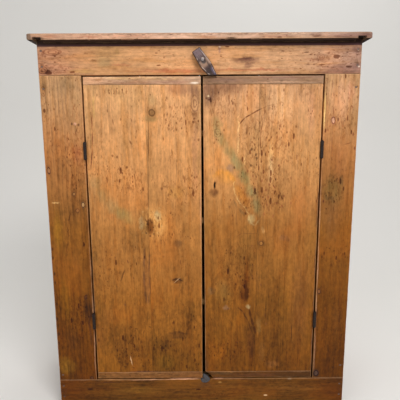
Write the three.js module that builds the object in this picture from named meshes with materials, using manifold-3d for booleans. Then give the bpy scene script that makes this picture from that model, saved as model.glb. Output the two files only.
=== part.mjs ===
// Jelly cupboard in old pine: a nailed case with a face frame, two flush plank doors on
// butt hinges, a wooden turn button and a small rim lock. Millimetres, +Z up, front towards -Y.
// The origin is under the middle of the cupboard, on the floor.
import * as THREE from "three";
import { mergeVertices } from "three/addons/utils/BufferGeometryUtils.js";
import Module from "manifold-3d";

const wasm = await Module();
wasm.setup();

// Case
const case_width = 990;
const case_depth = 415;
const top_thickness = 20;
const top_side_overhang = 20;
const top_front_overhang = 28;
const top_corner_radius = 9;
const top_edge_wear = 4;
const top_edge_steps = 2;
const frame_thickness = 22;
const header_height = 97;
const opening_height = 1024;
const bottom_rail_height = 110;
const stile_left_width = 129;
const stile_right_width = 108.5;
const side_thickness = 24;
const housing_depth = 8;
const rabbet_width = 12;
const back_thickness = 14;
const back_board_count = 4;
const back_board_gap = 2;
const back_foot_clearance = 15;
const bottom_thickness = 20;
const shelf_thickness = 19;
const shelf_count = 3;
const arris = 1.4;
const hardware_arris = 0.4;

// Doors
const door_thickness = 20;
const door_side_gap = 5;
const door_top_gap = 4.5;
const door_foot_gap = 3.5;
const meeting_x = 6;
const meeting_gap_top = 6;
const meeting_gap_foot = 10;
const door_left_inner_width = 173;
const door_right_inner_width = 175;
const cap_height = 24.5;
const tongue_length = 9;
const tongue_thickness = 7;
const corner_chip_width = 26;
const corner_chip_height = 23;
// From the meeting edge down to the foot of the door: across, then up.
const corner_chip_shares = [
  [0, 1],
  [0.36, 0.88],
  [0.66, 0.6],
  [0.84, 0.27],
  [1, 0],
];

// Hinges
const hinge_height = 54;
const hinge_top_inset = 226.5;
const hinge_foot_inset = 216.5;
const hinge_proud = 4.8;
const leaf_depth = 22;
const leaf_running_gap = 0.4;
const knuckle_radius = 5;
const knuckle_count = 3;
const pin_radius = 1.6;
const pin_clearance = 0.05;
const pin_head_radius = 2.9;
const pin_head_height = 2.2;
const pin_foot_radius = 2.6;
const pin_foot_height = 1.2;
const leaf_screw_radius = 2.4;
const leaf_screw_spacing = 34;

// Turn button, which rests turned just clear of the right-hand door
const button_top_width = 28;
const button_width = 35;
const button_tip_width = 23;
const button_thickness = 20;
const button_tip_thickness = 11;
const button_upper_arm = 36;
const button_belly_share = 0.55;
const button_facet_length = 34;
const button_facet_drop = 23.75;
const button_arris = 2.6;
const button_pivot_x = 8;
const button_pivot_height = 41;
const button_rest_tilt = THREE.MathUtils.degToRad(35);
const button_tip_clearance = 0.5;
const button_screw_radius = 2.2;
const button_bore_clearance = 0.1;
const button_screw_head_radius = 4.6;
const button_screw_head_height = 2.4;
const button_screw_length = 18;
const button_screw_slot = 1;

// Cut nails through the face frame into the edges of the sides
const nail_head_width = 6.5;
const nail_head_height = 4.5;
const nail_head_thickness = 1.8;
const nail_shank = 3.4;
const nail_tip = 1.6;
const nail_length = 52;
const nail_sink = 0.4;
const header_nail_shares = [0.26, 0.74];
const rail_nail_shares = [0.42, 0.79];
const stile_nail_inset_top = 40;
const stile_nail_inset_left = 19;
const stile_nail_inset_right = 48;

// Iron stop let into the top of the bottom rail, under the chipped corner
const stop_width = 33;
const stop_height = 34;
const stop_thickness = 7;
const stop_proud = 1;
const stop_left_reach_share = 0.27;
const stop_drop_share = 0.44;
// Across from the left end, then up from the lowest point, as shares of its width and height.
const stop_outline_shares = [
  [0, 0.35],
  [0.08, 0.12],
  [0.3, 0],
  [0.62, 0.02],
  [0.88, 0.18],
  [1, 0.4],
  [0.86, 0.58],
  [0.66, 0.78],
  [0.48, 0.92],
  [0.32, 1],
  [0.24, 0.93],
  [0.24, 0.47],
  [0.03, 0.47],
];

// Lock and keeper
const lock_width = 62;
const lock_height = 52;
const lock_depth = 13;
const lock_edge_inset = 2;
const lock_wall = 1.8;
const lock_plate_thickness = 1.5;
const lock_screw_radius = 1.7;
const lock_screw_head_radius = 3.2;
const lock_screw_head_height = 1.4;
const lock_screw_length = 24;
const lock_screw_inset = 5.5;
const lock_head_room = 11;
const key_backset = 34;
const key_drop = 15;
const key_hole_radius = 2.8;
const key_slot_width = 3.4;
const key_slot_length = 15;
const key_pin_radius = 1.3;
const key_pin_length = 8;
const bolt_height = 12;
const bolt_thickness = 5;
const bolt_rise = 6;
const bolt_length = 44;
const bolt_play = 0.3;
const talon_width = 6;
const talon_depth = 3.5;
const keeper_width = 12;
const keeper_strap = 2.2;
const keeper_flange = 11;
const keeper_play = 1;
const keeper_edge_inset = 1.5;

// Fits
const seat_gap = 0.3;
const cut_overrun = 5;
const weld_share = 1e-6;
const square_sides = 4;
const round_sides = 16;
const barrel_sides = 24;

// Places worked out from the sizes above
const half_width = case_width / 2;
const whole_depth = case_depth + top_front_overhang;
const face_y = top_front_overhang - whole_depth / 2;
const back_y = whole_depth / 2;
const frame_back_y = face_y + frame_thickness;
const door_back_y = face_y + door_thickness;
const rail_top = bottom_rail_height;
const header_foot = rail_top + opening_height;
const case_top = header_foot + header_height;
const inner_half = half_width - side_thickness;
const back_face_y = back_y - back_thickness;
const door_foot = rail_top + door_foot_gap;
const door_top = header_foot - door_top_gap;
const opening_left = -half_width + stile_left_width;
const opening_right = half_width - stile_right_width;
const hinge_y = face_y - hinge_proud;
const button_pivot_z = header_foot + button_pivot_height;
const bay_height = (case_top - rail_top - shelf_count * shelf_thickness) / (shelf_count + 1);
const shelf_pitch = bay_height + shelf_thickness;
const weld_distance = case_width * weld_share;
const quarter_turn = Math.PI / 2;

const pine = { colour: 0xb8762f, roughness: 0.5, metalness: 0 };
const door_pine = { colour: 0xc28340, roughness: 0.48, metalness: 0 };
const bare_pine = { colour: 0xa98a5f, roughness: 0.8, metalness: 0 };
const dark_wood = { colour: 0x4a3128, roughness: 0.4, metalness: 0 };
const iron = { colour: 0x1f1b19, roughness: 0.6, metalness: 0.8 };
const worn_iron = { colour: 0x57504c, roughness: 0.5, metalness: 0.8 };

// Joins and cuts

function solidOf(geometry) {
  const bare = geometry.clone();
  bare.deleteAttribute("normal");
  bare.deleteAttribute("uv");
  const merged = mergeVertices(bare, weld_distance);
  return new wasm.Manifold(
    new wasm.Mesh({
      numProp: 3,
      vertProperties: merged.attributes.position.array,
      triVerts: new Uint32Array(merged.index.array),
    }),
  );
}

function geometryOf(solid) {
  const mesh = solid.getMesh();
  const geometry = new THREE.BufferGeometry();
  geometry.setAttribute("position", new THREE.BufferAttribute(mesh.vertProperties, 3));
  geometry.setIndex(new THREE.BufferAttribute(mesh.triVerts, 1));
  geometry.computeVertexNormals();
  return geometry;
}

function cut(geometry, cutters) {
  let solid = solidOf(geometry);
  for (const cutter of cutters) solid = solid.subtract(solidOf(cutter));
  return geometryOf(solid);
}

function join(geometries) {
  const [first, ...others] = geometries.map(solidOf);
  return geometryOf(others.reduce((whole, other) => whole.add(other), first));
}

// Shapes

function box(x0, x1, y0, y1, z0, z1) {
  const geometry = new THREE.BoxGeometry(x1 - x0, y1 - y0, z1 - z0);
  return geometry.translate((x0 + x1) / 2, (y0 + y1) / 2, (z0 + z1) / 2);
}

function shapeOf(points) {
  return new THREE.Shape(points.map(([across, up]) => new THREE.Vector2(across, up)));
}

function rectangle(a0, a1, b0, b1) {
  return shapeOf([[a0, b0], [a1, b0], [a1, b1], [a0, b1]]);
}

// A slab of an outline with its arrises eased, from 0 to its thickness along its own Z.
function slab(shape, thickness, ease, steps = 1) {
  const geometry = new THREE.ExtrudeGeometry(shape, {
    depth: thickness - 2 * ease,
    bevelEnabled: true,
    bevelThickness: ease,
    bevelSize: ease,
    bevelOffset: -ease,
    bevelSegments: steps,
  });
  return geometry.translate(0, 0, ease);
}

// An outline drawn as seen from the front (x, z), from front_y back through its thickness.
function frontSlab(shape, front_y, thickness, ease) {
  return slab(shape, thickness, ease).rotateX(quarter_turn).translate(0, front_y + thickness, 0);
}

// An outline drawn as seen from the right (y, z), from left_x through its thickness.
function sideSlab(shape, left_x, thickness, ease) {
  return slab(shape, thickness, ease).rotateX(quarter_turn).rotateZ(quarter_turn).translate(left_x, 0, 0);
}

// Round bars along Y, from the front backwards, and along Z, upwards.
function barY(radius, x, y0, y1, z, sides) {
  const geometry = new THREE.CylinderGeometry(radius, radius, y1 - y0, sides);
  return geometry.translate(x, (y0 + y1) / 2, z);
}

function barZ(radius, x, y, z0, z1, sides) {
  const geometry = new THREE.CylinderGeometry(radius, radius, z1 - z0, sides);
  return geometry.rotateX(quarter_turn).translate(x, y, (z0 + z1) / 2);
}

function meshOf(name, geometry, finish) {
  const material = new THREE.MeshStandardMaterial({
    color: finish.colour,
    roughness: finish.roughness,
    metalness: finish.metalness,
  });
  const mesh = new THREE.Mesh(geometry, material);
  mesh.name = name;
  return mesh;
}

// A piece drawn in the cupboard's frame becomes a mesh at its own middle, inside its group.
function place(group, name, geometry, finish) {
  geometry.computeBoundingBox();
  const middle = geometry.boundingBox.getCenter(new THREE.Vector3());
  geometry.translate(-middle.x, -middle.y, -middle.z);
  const mesh = meshOf(name, geometry, finish);
  mesh.position.copy(middle).sub(group.position);
  group.add(mesh);
}

const cupboard = new THREE.Group();
const door_left = new THREE.Group();
const door_right = new THREE.Group();
const turning_button = new THREE.Group();
const hinge_left_x = opening_left + door_side_gap / 2;
const hinge_right_x = opening_right - door_side_gap / 2;
door_left.position.set(hinge_left_x, hinge_y, 0);
door_right.position.set(hinge_right_x, hinge_y, 0);
cupboard.add(door_left, door_right, turning_button);

// Nails: each has its own place on the face, and the wood is cut for its head and shank.

const nail_x = half_width - side_thickness / 2;

function nailPlaces() {
  const columns = [
    { side: "left", x: -nail_x, inset: stile_nail_inset_left },
    { side: "right", x: nail_x, inset: stile_nail_inset_right },
  ];
  return columns.flatMap(({ side, x, inset }) => [
    ...header_nail_shares.map((share, i) => ({
      name: `header_nail_${side}_${i + 1}`,
      x,
      z: header_foot + share * header_height,
    })),
    ...rail_nail_shares.map((share, i) => ({
      name: `rail_nail_${side}_${i + 1}`,
      x,
      z: share * bottom_rail_height,
    })),
    { name: `stile_nail_${side}_foot`, x, z: rail_top + inset },
    { name: `stile_nail_${side}_head`, x, z: header_foot - stile_nail_inset_top },
  ]);
}

const nails = nailPlaces();
const nail_head_y = face_y + nail_sink;

function nailGeometry({ x, z }) {
  const shank_start = nail_head_y + nail_head_thickness / 2;
  const shank_length = nail_head_y + nail_length - shank_start;
  const corner = Math.SQRT2 / 2;
  const tip = nail_tip * corner;
  const root = nail_shank * corner;
  const shank = new THREE.CylinderGeometry(tip, root, shank_length, square_sides);
  shank.rotateY(quarter_turn / 2).translate(x, shank_start + shank_length / 2, z);
  const head = box(
    x - nail_head_width / 2,
    x + nail_head_width / 2,
    nail_head_y,
    nail_head_y + nail_head_thickness,
    z - nail_head_height / 2,
    z + nail_head_height / 2,
  );
  return join([head, shank]);
}

function nailCutters({ x, z }) {
  const half_head = nail_head_width / 2 + seat_gap;
  const half_head_up = nail_head_height / 2 + seat_gap;
  const half_shank = nail_shank / 2 + seat_gap;
  const head_back = nail_head_y + nail_head_thickness + seat_gap;
  const hole_end = nail_head_y + nail_length + seat_gap;
  return [
    box(x - half_head, x + half_head, face_y - cut_overrun, head_back, z - half_head_up, z + half_head_up),
    box(x - half_shank, x + half_shank, face_y, hole_end, z - half_shank, z + half_shank),
  ];
}

// Cuts for the nails between two heights, on both sides or on the one asked for.
function nailCutsIn(z0, z1, side = 0) {
  return nails.filter(({ x, z }) => x * side >= 0 && z > z0 && z < z1).flatMap(nailCutters);
}

// Case: top board, sides, face frame, bottom, shelves and back

function sideHousing(side) {
  const outer = side * (half_width + seat_gap);
  const inner = side * (inner_half - seat_gap);
  return [Math.min(outer, inner), Math.max(outer, inner)];
}

function topOutline() {
  const x = half_width + top_side_overhang;
  const front = -whole_depth / 2;
  const shape = new THREE.Shape();
  shape.moveTo(-x + top_corner_radius, front);
  shape.lineTo(x - top_corner_radius, front);
  shape.absarc(x - top_corner_radius, front + top_corner_radius, top_corner_radius, -quarter_turn, 0);
  shape.lineTo(x, back_y);
  shape.lineTo(-x, back_y);
  shape.lineTo(-x, front + top_corner_radius);
  shape.absarc(-x + top_corner_radius, front + top_corner_radius, top_corner_radius, Math.PI, -quarter_turn);
  return shape;
}

function makeTop() {
  const blank = slab(topOutline(), top_thickness, top_edge_wear, top_edge_steps);
  const board = blank.translate(0, 0, case_top);
  const housings = [-1, 1].map((side) => {
    const [x0, x1] = sideHousing(side);
    const reach = whole_depth / 2 + cut_overrun;
    return box(x0, x1, -reach, reach, case_top - cut_overrun, case_top + housing_depth);
  });
  place(cupboard, "top_board", cut(board, housings), pine);
}

// Heights of the boards that are housed in the sides, from the bottom board up.
function housedBoards() {
  const boards = [{ name: "bottom_board", z: rail_top - bottom_thickness, thickness: bottom_thickness }];
  for (let i = 0; i < shelf_count; i++) {
    const z = rail_top + bay_height + i * shelf_pitch;
    boards.push({ name: `shelf_${i + 1}`, z, thickness: shelf_thickness });
  }
  return boards;
}

function makeSide(name, side) {
  const left_x = side < 0 ? -half_width : inner_half;
  const inner_x = side * inner_half;
  const outline = rectangle(frame_back_y + seat_gap, back_y, 0, case_top + housing_depth - seat_gap);
  const board = sideSlab(outline, left_x, side_thickness, arris);
  const inward = (depth) => {
    const ends = [inner_x - side * cut_overrun, inner_x + side * depth];
    return [Math.min(...ends), Math.max(...ends)];
  };
  const [h0, h1] = inward(housing_depth);
  const housings = housedBoards().map(({ z, thickness }) =>
    box(h0, h1, face_y, back_y + cut_overrun, z - seat_gap, z + thickness + seat_gap),
  );
  const [r0, r1] = inward(rabbet_width);
  const above = case_top + housing_depth + cut_overrun;
  const rabbet = box(r0, r1, back_face_y - seat_gap, back_y + cut_overrun, -cut_overrun, above);
  const nail_cuts = nailCutsIn(0, case_top, side);
  place(cupboard, name, cut(board, [...housings, rabbet, ...nail_cuts]), pine);
}

function frameBoard(name, outline, nail_cuts, more_cuts = []) {
  const board = frontSlab(outline, face_y, frame_thickness, arris);
  place(cupboard, name, cut(board, [...nail_cuts, ...more_cuts]), pine);
}

// The header's ends rise beside the sides into the top board's housings.
function headerOutline() {
  const head = case_top - seat_gap;
  const ear = case_top + housing_depth - seat_gap;
  return shapeOf([
    [-half_width, header_foot],
    [half_width, header_foot],
    [half_width, ear],
    [inner_half, ear],
    [inner_half, head],
    [-inner_half, head],
    [-inner_half, ear],
    [-half_width, ear],
  ]);
}

function makeFaceFrame() {
  const screw_hole = barY(
    button_screw_radius + seat_gap,
    button_pivot_x,
    face_y - cut_overrun,
    face_y + button_screw_length + seat_gap,
    button_pivot_z,
    round_sides,
  );
  const foot = rail_top + seat_gap;
  const head = header_foot - seat_gap;
  const rail = rectangle(-half_width, half_width, 0, rail_top);
  frameBoard("header_rail", headerOutline(), nailCutsIn(header_foot, case_top), [screw_hole]);
  frameBoard("stile_left", rectangle(-half_width, opening_left, foot, head), nailCutsIn(foot, head, -1));
  frameBoard("stile_right", rectangle(opening_right, half_width, foot, head), nailCutsIn(foot, head, 1));
  frameBoard("bottom_rail", rail, nailCutsIn(0, rail_top), [stopGeometry(seat_gap)]);
}

function makeHousedBoards() {
  const reach = inner_half + housing_depth - seat_gap;
  const front = frame_back_y + seat_gap;
  for (const { name, z, thickness } of housedBoards()) {
    const outline = rectangle(-reach, reach, front, back_face_y - seat_gap);
    place(cupboard, name, slab(outline, thickness, arris).translate(0, 0, z), bare_pine);
  }
}

function makeBack() {
  const reach = inner_half + rabbet_width - seat_gap;
  const pitch = (2 * reach + back_board_gap) / back_board_count;
  for (let i = 0; i < back_board_count; i++) {
    const x0 = -reach + i * pitch;
    const outline = rectangle(x0, x0 + pitch - back_board_gap, back_foot_clearance, case_top - seat_gap);
    place(cupboard, `back_board_${i + 1}`, frontSlab(outline, back_face_y, back_thickness, arris), bare_pine);
  }
}

// Iron stop: its outline grown all round by a gap also cuts its seat in the rail.
function stopGeometry(grow) {
  const left = meeting_x - stop_left_reach_share * stop_width;
  const low = rail_top - stop_drop_share * stop_height;
  const points = stop_outline_shares.map(([across, up]) => [
    left - grow + across * (stop_width + 2 * grow),
    low - grow + up * (stop_height + 2 * grow),
  ]);
  const front = face_y - stop_proud - grow;
  return frontSlab(shapeOf(points), front, stop_thickness + stop_proud + 2 * grow, hardware_arris);
}

// Turn button, drawn hanging straight down about its pivot, then turned to its rest
function buttonOutline() {
  const reach = button_pivot_height + door_top_gap - button_tip_clearance;
  const half_top = button_top_width / 2;
  const half_tip = button_tip_width / 2;
  const half = button_width / 2;
  const belly = button_belly_share * button_upper_arm;
  const tipDrop = (across) => (reach + across * Math.sin(button_rest_tilt)) / Math.cos(button_rest_tilt);
  return shapeOf([
    [-half_top, button_upper_arm],
    [-half, -belly],
    [-half_tip, -tipDrop(-half_tip)],
    [half_tip, -tipDrop(half_tip)],
    [half, -belly],
    [half_top, button_upper_arm],
  ]);
}

// The lower half is shaved to a sloping facet that thins towards the tip.
function facetCutter() {
  const facet_turn = Math.atan2(button_thickness - button_tip_thickness, button_facet_length);
  const below_tip = button_facet_length + button_pivot_height;
  const facet = box(-button_width, button_width, -button_thickness, 0, -below_tip, cut_overrun);
  return facet.rotateX(facet_turn).translate(0, -button_thickness, -button_facet_drop);
}

function makeButton() {
  turning_button.position.set(button_pivot_x, face_y - seat_gap, button_pivot_z);
  turning_button.rotation.y = -button_rest_tilt;
  const body = frontSlab(buttonOutline(), -button_thickness, button_thickness, button_arris);
  const bore_radius = button_screw_radius + button_bore_clearance;
  const bore = barY(bore_radius, 0, -button_thickness - cut_overrun, cut_overrun, 0, barrel_sides);
  turning_button.add(meshOf("turn_button", cut(body, [bore, facetCutter()]), dark_wood));
}

function makeButtonScrew() {
  const head_back = face_y - seat_gap - button_thickness - seat_gap;
  const head_y = head_back - button_screw_head_height;
  const shank_start = head_y + button_screw_head_height / 2;
  const shank_end = face_y + button_screw_length;
  const head = barY(button_screw_head_radius, 0, head_y, head_back, 0, barrel_sides);
  const shank = barY(button_screw_radius, 0, shank_start, shank_end, 0, barrel_sides);
  const slot_reach = button_screw_head_radius + cut_overrun;
  const slot_top = button_screw_slot / 2;
  const slot_floor = head_y + button_screw_slot;
  const slot = box(-slot_reach, slot_reach, head_y - cut_overrun, slot_floor, -slot_top, slot_top);
  const screw = cut(join([head, shank]), [slot]).translate(button_pivot_x, 0, button_pivot_z);
  place(cupboard, "turn_button_screw", screw, worn_iron);
}

// Doors

// The right-hand door's meeting edge is planed back towards its foot.
function rightMeetingEdge(z) {
  const down_share = (door_top - z) / (door_top - door_foot);
  return meeting_x + meeting_gap_top / 2 + (meeting_gap_foot - meeting_gap_top) * down_share;
}

// A door board or cap between two edges that may lean, as an outline seen from the front.
function leaningOutline(leftAt, rightAt, z0, z1) {
  return shapeOf([[leftAt(z0), z0], [rightAt(z0), z0], [rightAt(z1), z1], [leftAt(z1), z1]]);
}

const tongue_front = face_y + (door_thickness - tongue_thickness) / 2;
const tongue_back = tongue_front + tongue_thickness;
const shoulder_foot = door_foot + cap_height + seat_gap;
const shoulder_top = door_top - cap_height - seat_gap;

// Shoulders cut away the front and back of a board's ends, which leaves its tongues.
function shoulderCutters(x0, x1) {
  const left = x0 - cut_overrun;
  const right = x1 + cut_overrun;
  const below = door_foot - cut_overrun;
  const above = door_top + cut_overrun;
  return [
    box(left, right, face_y - cut_overrun, tongue_front, below, shoulder_foot),
    box(left, right, tongue_back, door_back_y + cut_overrun, below, shoulder_foot),
    box(left, right, face_y - cut_overrun, tongue_front, shoulder_top, above),
    box(left, right, tongue_back, door_back_y + cut_overrun, shoulder_top, above),
  ];
}

function doorBoard(group, name, leftAt, rightAt, more_cuts = []) {
  const foot = shoulder_foot - tongue_length;
  const head = shoulder_top + tongue_length;
  const outline = leaningOutline(leftAt, rightAt, foot, head);
  const board = frontSlab(outline, face_y, door_thickness, arris);
  const shoulders = shoulderCutters(leftAt(head), rightAt(foot));
  place(group, name, cut(board, [...shoulders, ...more_cuts]), door_pine);
}

function doorCap(group, name, leftAt, rightAt, z0, groove_z0, more_cuts = []) {
  const outline = leaningOutline(leftAt, rightAt, z0, z0 + cap_height);
  const cap = frontSlab(outline, face_y, door_thickness, arris);
  const groove = box(
    leftAt(z0 + cap_height) - cut_overrun,
    rightAt(z0) + cut_overrun,
    tongue_front - seat_gap,
    tongue_back + seat_gap,
    groove_z0,
    groove_z0 + tongue_length + cut_overrun,
  );
  place(group, name, cut(cap, [groove, ...more_cuts]), door_pine);
}

function doorCaps(group, name, leftAt, rightAt, foot_cuts = []) {
  const foot_groove = door_foot + cap_height - tongue_length;
  const top_groove = shoulder_top - cut_overrun + seat_gap;
  doorCap(group, `${name}_cap_foot`, leftAt, rightAt, door_foot, foot_groove, foot_cuts);
  doorCap(group, `${name}_cap_top`, leftAt, rightAt, door_top - cap_height, top_groove);
}

function cornerChip() {
  const edge = rightMeetingEdge(door_foot);
  const points = corner_chip_shares.map(([across, up]) => [
    edge + across * corner_chip_width,
    door_foot + up * corner_chip_height,
  ]);
  const left = edge - cut_overrun;
  const low = door_foot - cut_overrun;
  const [, start_z] = points[0];
  const [end_x] = points[points.length - 1];
  const outline = [...points, [end_x, low], [left, low], [left, start_z]].reverse();
  const depth = door_thickness + 2 * cut_overrun;
  return frontSlab(shapeOf(outline), face_y - cut_overrun, depth, hardware_arris);
}

// The key enters a little below the middle of the third bay, and the lock lies between two shelves.
const key_bay = 2;
const key_z = rail_top + key_bay * shelf_pitch + bay_height / 2 - key_drop;
const lock_left = rightMeetingEdge(key_z) + lock_edge_inset;
const key_x = lock_left + key_backset;

// A keyhole: round above for the pin, with a slot below it for the bit.
function keyholeCutters(y0, y1) {
  const half_slot = key_slot_width / 2;
  return [
    barY(key_hole_radius, key_x, y0, y1, key_z, round_sides),
    box(key_x - half_slot, key_x + half_slot, y0, y1, key_z - key_slot_length, key_z),
  ];
}

function makeLeftDoor() {
  const hinge_edge = () => opening_left + door_side_gap;
  const meeting_edge = () => meeting_x - meeting_gap_top / 2;
  const seam = meeting_edge() - door_left_inner_width;
  doorBoard(door_left, "door_left_board_outer", hinge_edge, () => seam - seat_gap);
  doorBoard(door_left, "door_left_board_inner", () => seam, meeting_edge);
  doorCaps(door_left, "door_left", hinge_edge, meeting_edge);
}

function makeRightDoor() {
  const hinge_edge = () => opening_right - door_side_gap;
  const seam = meeting_x + meeting_gap_top / 2 + door_right_inner_width;
  const keyhole = keyholeCutters(face_y - cut_overrun, door_back_y + cut_overrun);
  const hole_radius = lock_screw_radius + seat_gap;
  const hole_end = lockScrewTip() - seat_gap;
  const screw_holes = lockScrews().map(({ x, z }) =>
    barY(hole_radius, x, hole_end, door_back_y + cut_overrun, z, round_sides),
  );
  const cuts = [...keyhole, ...screw_holes, cornerChip()];
  doorBoard(door_right, "door_right_board_inner", rightMeetingEdge, () => seam, cuts);
  doorBoard(door_right, "door_right_board_outer", () => seam + seat_gap, hinge_edge);
  doorCaps(door_right, "door_right", rightMeetingEdge, hinge_edge, [cornerChip()]);
}

// Hinges: side is the way from the pin to the leaf's wood, -1 left and 1 right.

const knuckle_pitch = hinge_height / knuckle_count;

function knuckleSpan(i, middle_z) {
  const z0 = middle_z - hinge_height / 2 + i * knuckle_pitch;
  const lower = i === 0 ? 0 : leaf_running_gap / 2;
  const upper = i === knuckle_count - 1 ? 0 : leaf_running_gap / 2;
  return [z0 + lower, z0 + knuckle_pitch - upper];
}

function hingeLeaf(group, name, x, middle_z, side, own_knuckles) {
  const near = x + (side * leaf_running_gap) / 2;
  const far = x + side * (door_side_gap / 2 - seat_gap);
  const x0 = Math.min(near, far);
  const x1 = Math.max(near, far);
  const z0 = middle_z - hinge_height / 2;
  const z1 = middle_z + hinge_height / 2;
  const plate_front = hinge_y + knuckle_radius + leaf_running_gap;
  const pieces = [box(x0, x1, plate_front, face_y + leaf_depth, z0, z1)];
  for (const i of own_knuckles) {
    const [k0, k1] = knuckleSpan(i, middle_z);
    pieces.push(box(x0, x1, hinge_y, plate_front + knuckle_radius, k0, k1));
    pieces.push(barZ(knuckle_radius, x, hinge_y, k0, k1, barrel_sides));
  }
  const bore = barZ(pin_radius + pin_clearance, x, hinge_y, z0 - cut_overrun, z1 + cut_overrun, round_sides);
  const screw_y = (plate_front + face_y + leaf_depth) / 2;
  const screw_holes = [-1, 1].map((way) => {
    const hole = barZ(leaf_screw_radius, 0, 0, x0 - cut_overrun, x1 + cut_overrun, round_sides);
    return hole.rotateY(quarter_turn).translate(0, screw_y, middle_z + (way * leaf_screw_spacing) / 2);
  });
  place(group, name, cut(join(pieces), [bore, ...screw_holes]), iron);
}

function hingePin(name, x, middle_z) {
  const z0 = middle_z - hinge_height / 2;
  const z1 = middle_z + hinge_height / 2;
  const head = z1 + seat_gap;
  const foot = z0 - seat_gap;
  const pin = join([
    barZ(pin_radius, x, hinge_y, foot - pin_foot_height / 2, head + pin_head_height / 2, round_sides),
    barZ(pin_head_radius, x, hinge_y, head, head + pin_head_height, round_sides),
    barZ(pin_foot_radius, x, hinge_y, foot - pin_foot_height, foot, round_sides),
  ]);
  place(cupboard, name, pin, iron);
}

function makeHinges() {
  const doors = [
    { name: "left", x: hinge_left_x, side: -1, group: door_left },
    { name: "right", x: hinge_right_x, side: 1, group: door_right },
  ];
  const heights = { upper: door_top - hinge_top_inset, lower: door_foot + hinge_foot_inset };
  const frame_knuckles = [0, knuckle_count - 1];
  const door_knuckles = [1];
  for (const door of doors) {
    for (const [level, z] of Object.entries(heights)) {
      const name = `hinge_${door.name}_${level}`;
      hingeLeaf(cupboard, `${name}_frame_leaf`, door.x, z, door.side, frame_knuckles);
      hingeLeaf(door.group, `${name}_door_leaf`, door.x, z, -door.side, door_knuckles);
      hingePin(`${name}_pin`, door.x, z);
    }
  }
}

// Rim lock on the back of the right-hand door: plate, key pin, bolt and case

const lock_right = lock_left + lock_width;
const bolt_foot = key_z + bolt_rise;
const lock_top = bolt_foot + bolt_height + lock_head_room;
const lock_foot = lock_top - lock_height;
const plate_front_y = door_back_y + seat_gap;
const plate_back_y = plate_front_y + lock_plate_thickness;
const lock_case_y = plate_back_y + seat_gap;
const lock_back_y = plate_front_y + lock_depth;
const bolt_y = lock_case_y + (lock_back_y - lock_wall - lock_case_y - bolt_thickness) / 2;

function lockScrews() {
  const levels = { lower: lock_foot + lock_screw_inset, upper: lock_top - lock_screw_inset };
  const columns = { left: lock_left + lock_screw_inset, right: lock_right - lock_screw_inset };
  return Object.entries(levels).flatMap(([level, z]) =>
    Object.entries(columns).map(([side, x]) => ({ name: `lock_screw_${level}_${side}`, x, z })),
  );
}

function lockScrewTip() {
  return lock_back_y + seat_gap - lock_screw_length;
}

function lockScrewCutters() {
  const radius = lock_screw_radius + seat_gap;
  return lockScrews().map(({ x, z }) =>
    barY(radius, x, door_back_y - cut_overrun, lock_back_y + cut_overrun, z, round_sides),
  );
}

function makeLockPlate() {
  const outline = rectangle(lock_left, lock_right, lock_foot, lock_top);
  const plate = frontSlab(outline, plate_front_y, lock_plate_thickness, hardware_arris);
  const keyhole = keyholeCutters(door_back_y - cut_overrun, plate_back_y + cut_overrun);
  const pin_hole_clear = key_z + key_hole_radius;
  const pin_arm = box(
    key_x - key_pin_radius,
    key_x + key_pin_radius,
    plate_front_y + hardware_arris,
    plate_back_y - hardware_arris,
    key_z,
    pin_hole_clear + key_pin_radius,
  );
  const pin_tip = plate_front_y + key_pin_length;
  const key_pin = barY(key_pin_radius, key_x, plate_front_y, pin_tip, key_z, round_sides);
  const pierced = cut(plate, [...keyhole, ...lockScrewCutters()]);
  place(door_right, "lock_plate", join([pierced, pin_arm, key_pin]), worn_iron);
}

function makeLockCase() {
  const outline = rectangle(lock_left, lock_right, lock_foot, lock_top);
  const shell = frontSlab(outline, lock_case_y, lock_back_y - lock_case_y, hardware_arris);
  const boss = lock_screw_inset + lock_screw_radius + lock_wall;
  const hollow_z0 = lock_foot + boss;
  const hollow_z1 = lock_top - boss;
  const hollow_x0 = lock_left + lock_wall;
  const hollow_x1 = lock_right - lock_wall;
  const hollow_back = lock_back_y - lock_wall;
  const hollow = box(hollow_x0, hollow_x1, lock_case_y - cut_overrun, hollow_back, hollow_z0, hollow_z1);
  const mouth = box(
    lock_left - cut_overrun,
    hollow_x0 + cut_overrun,
    bolt_y - bolt_play,
    bolt_y + bolt_thickness + bolt_play,
    bolt_foot - bolt_play,
    bolt_foot + bolt_height + bolt_play,
  );
  place(door_right, "lock_case", cut(shell, [hollow, mouth, ...lockScrewCutters()]), worn_iron);
}

function makeBolt() {
  const outline = rectangle(lock_left, lock_left + bolt_length, bolt_foot, bolt_foot + bolt_height);
  const bar = frontSlab(outline, bolt_y, bolt_thickness, hardware_arris);
  const talon = box(
    key_x - talon_width / 2,
    key_x + talon_width / 2,
    bolt_y - cut_overrun,
    bolt_y + bolt_thickness + cut_overrun,
    bolt_foot - cut_overrun,
    bolt_foot + talon_depth,
  );
  place(door_right, "lock_bolt", cut(bar, [talon]), worn_iron);
}

function makeLockScrews() {
  for (const { name, x, z } of lockScrews()) {
    const seat = lock_back_y + seat_gap;
    const shank_top = seat + lock_screw_head_height / 2;
    const head = barY(lock_screw_head_radius, x, seat, seat + lock_screw_head_height, z, round_sides);
    const shank = barY(lock_screw_radius, x, lockScrewTip(), shank_top, z, round_sides);
    place(door_right, name, join([head, shank]), worn_iron);
  }
}

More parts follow.
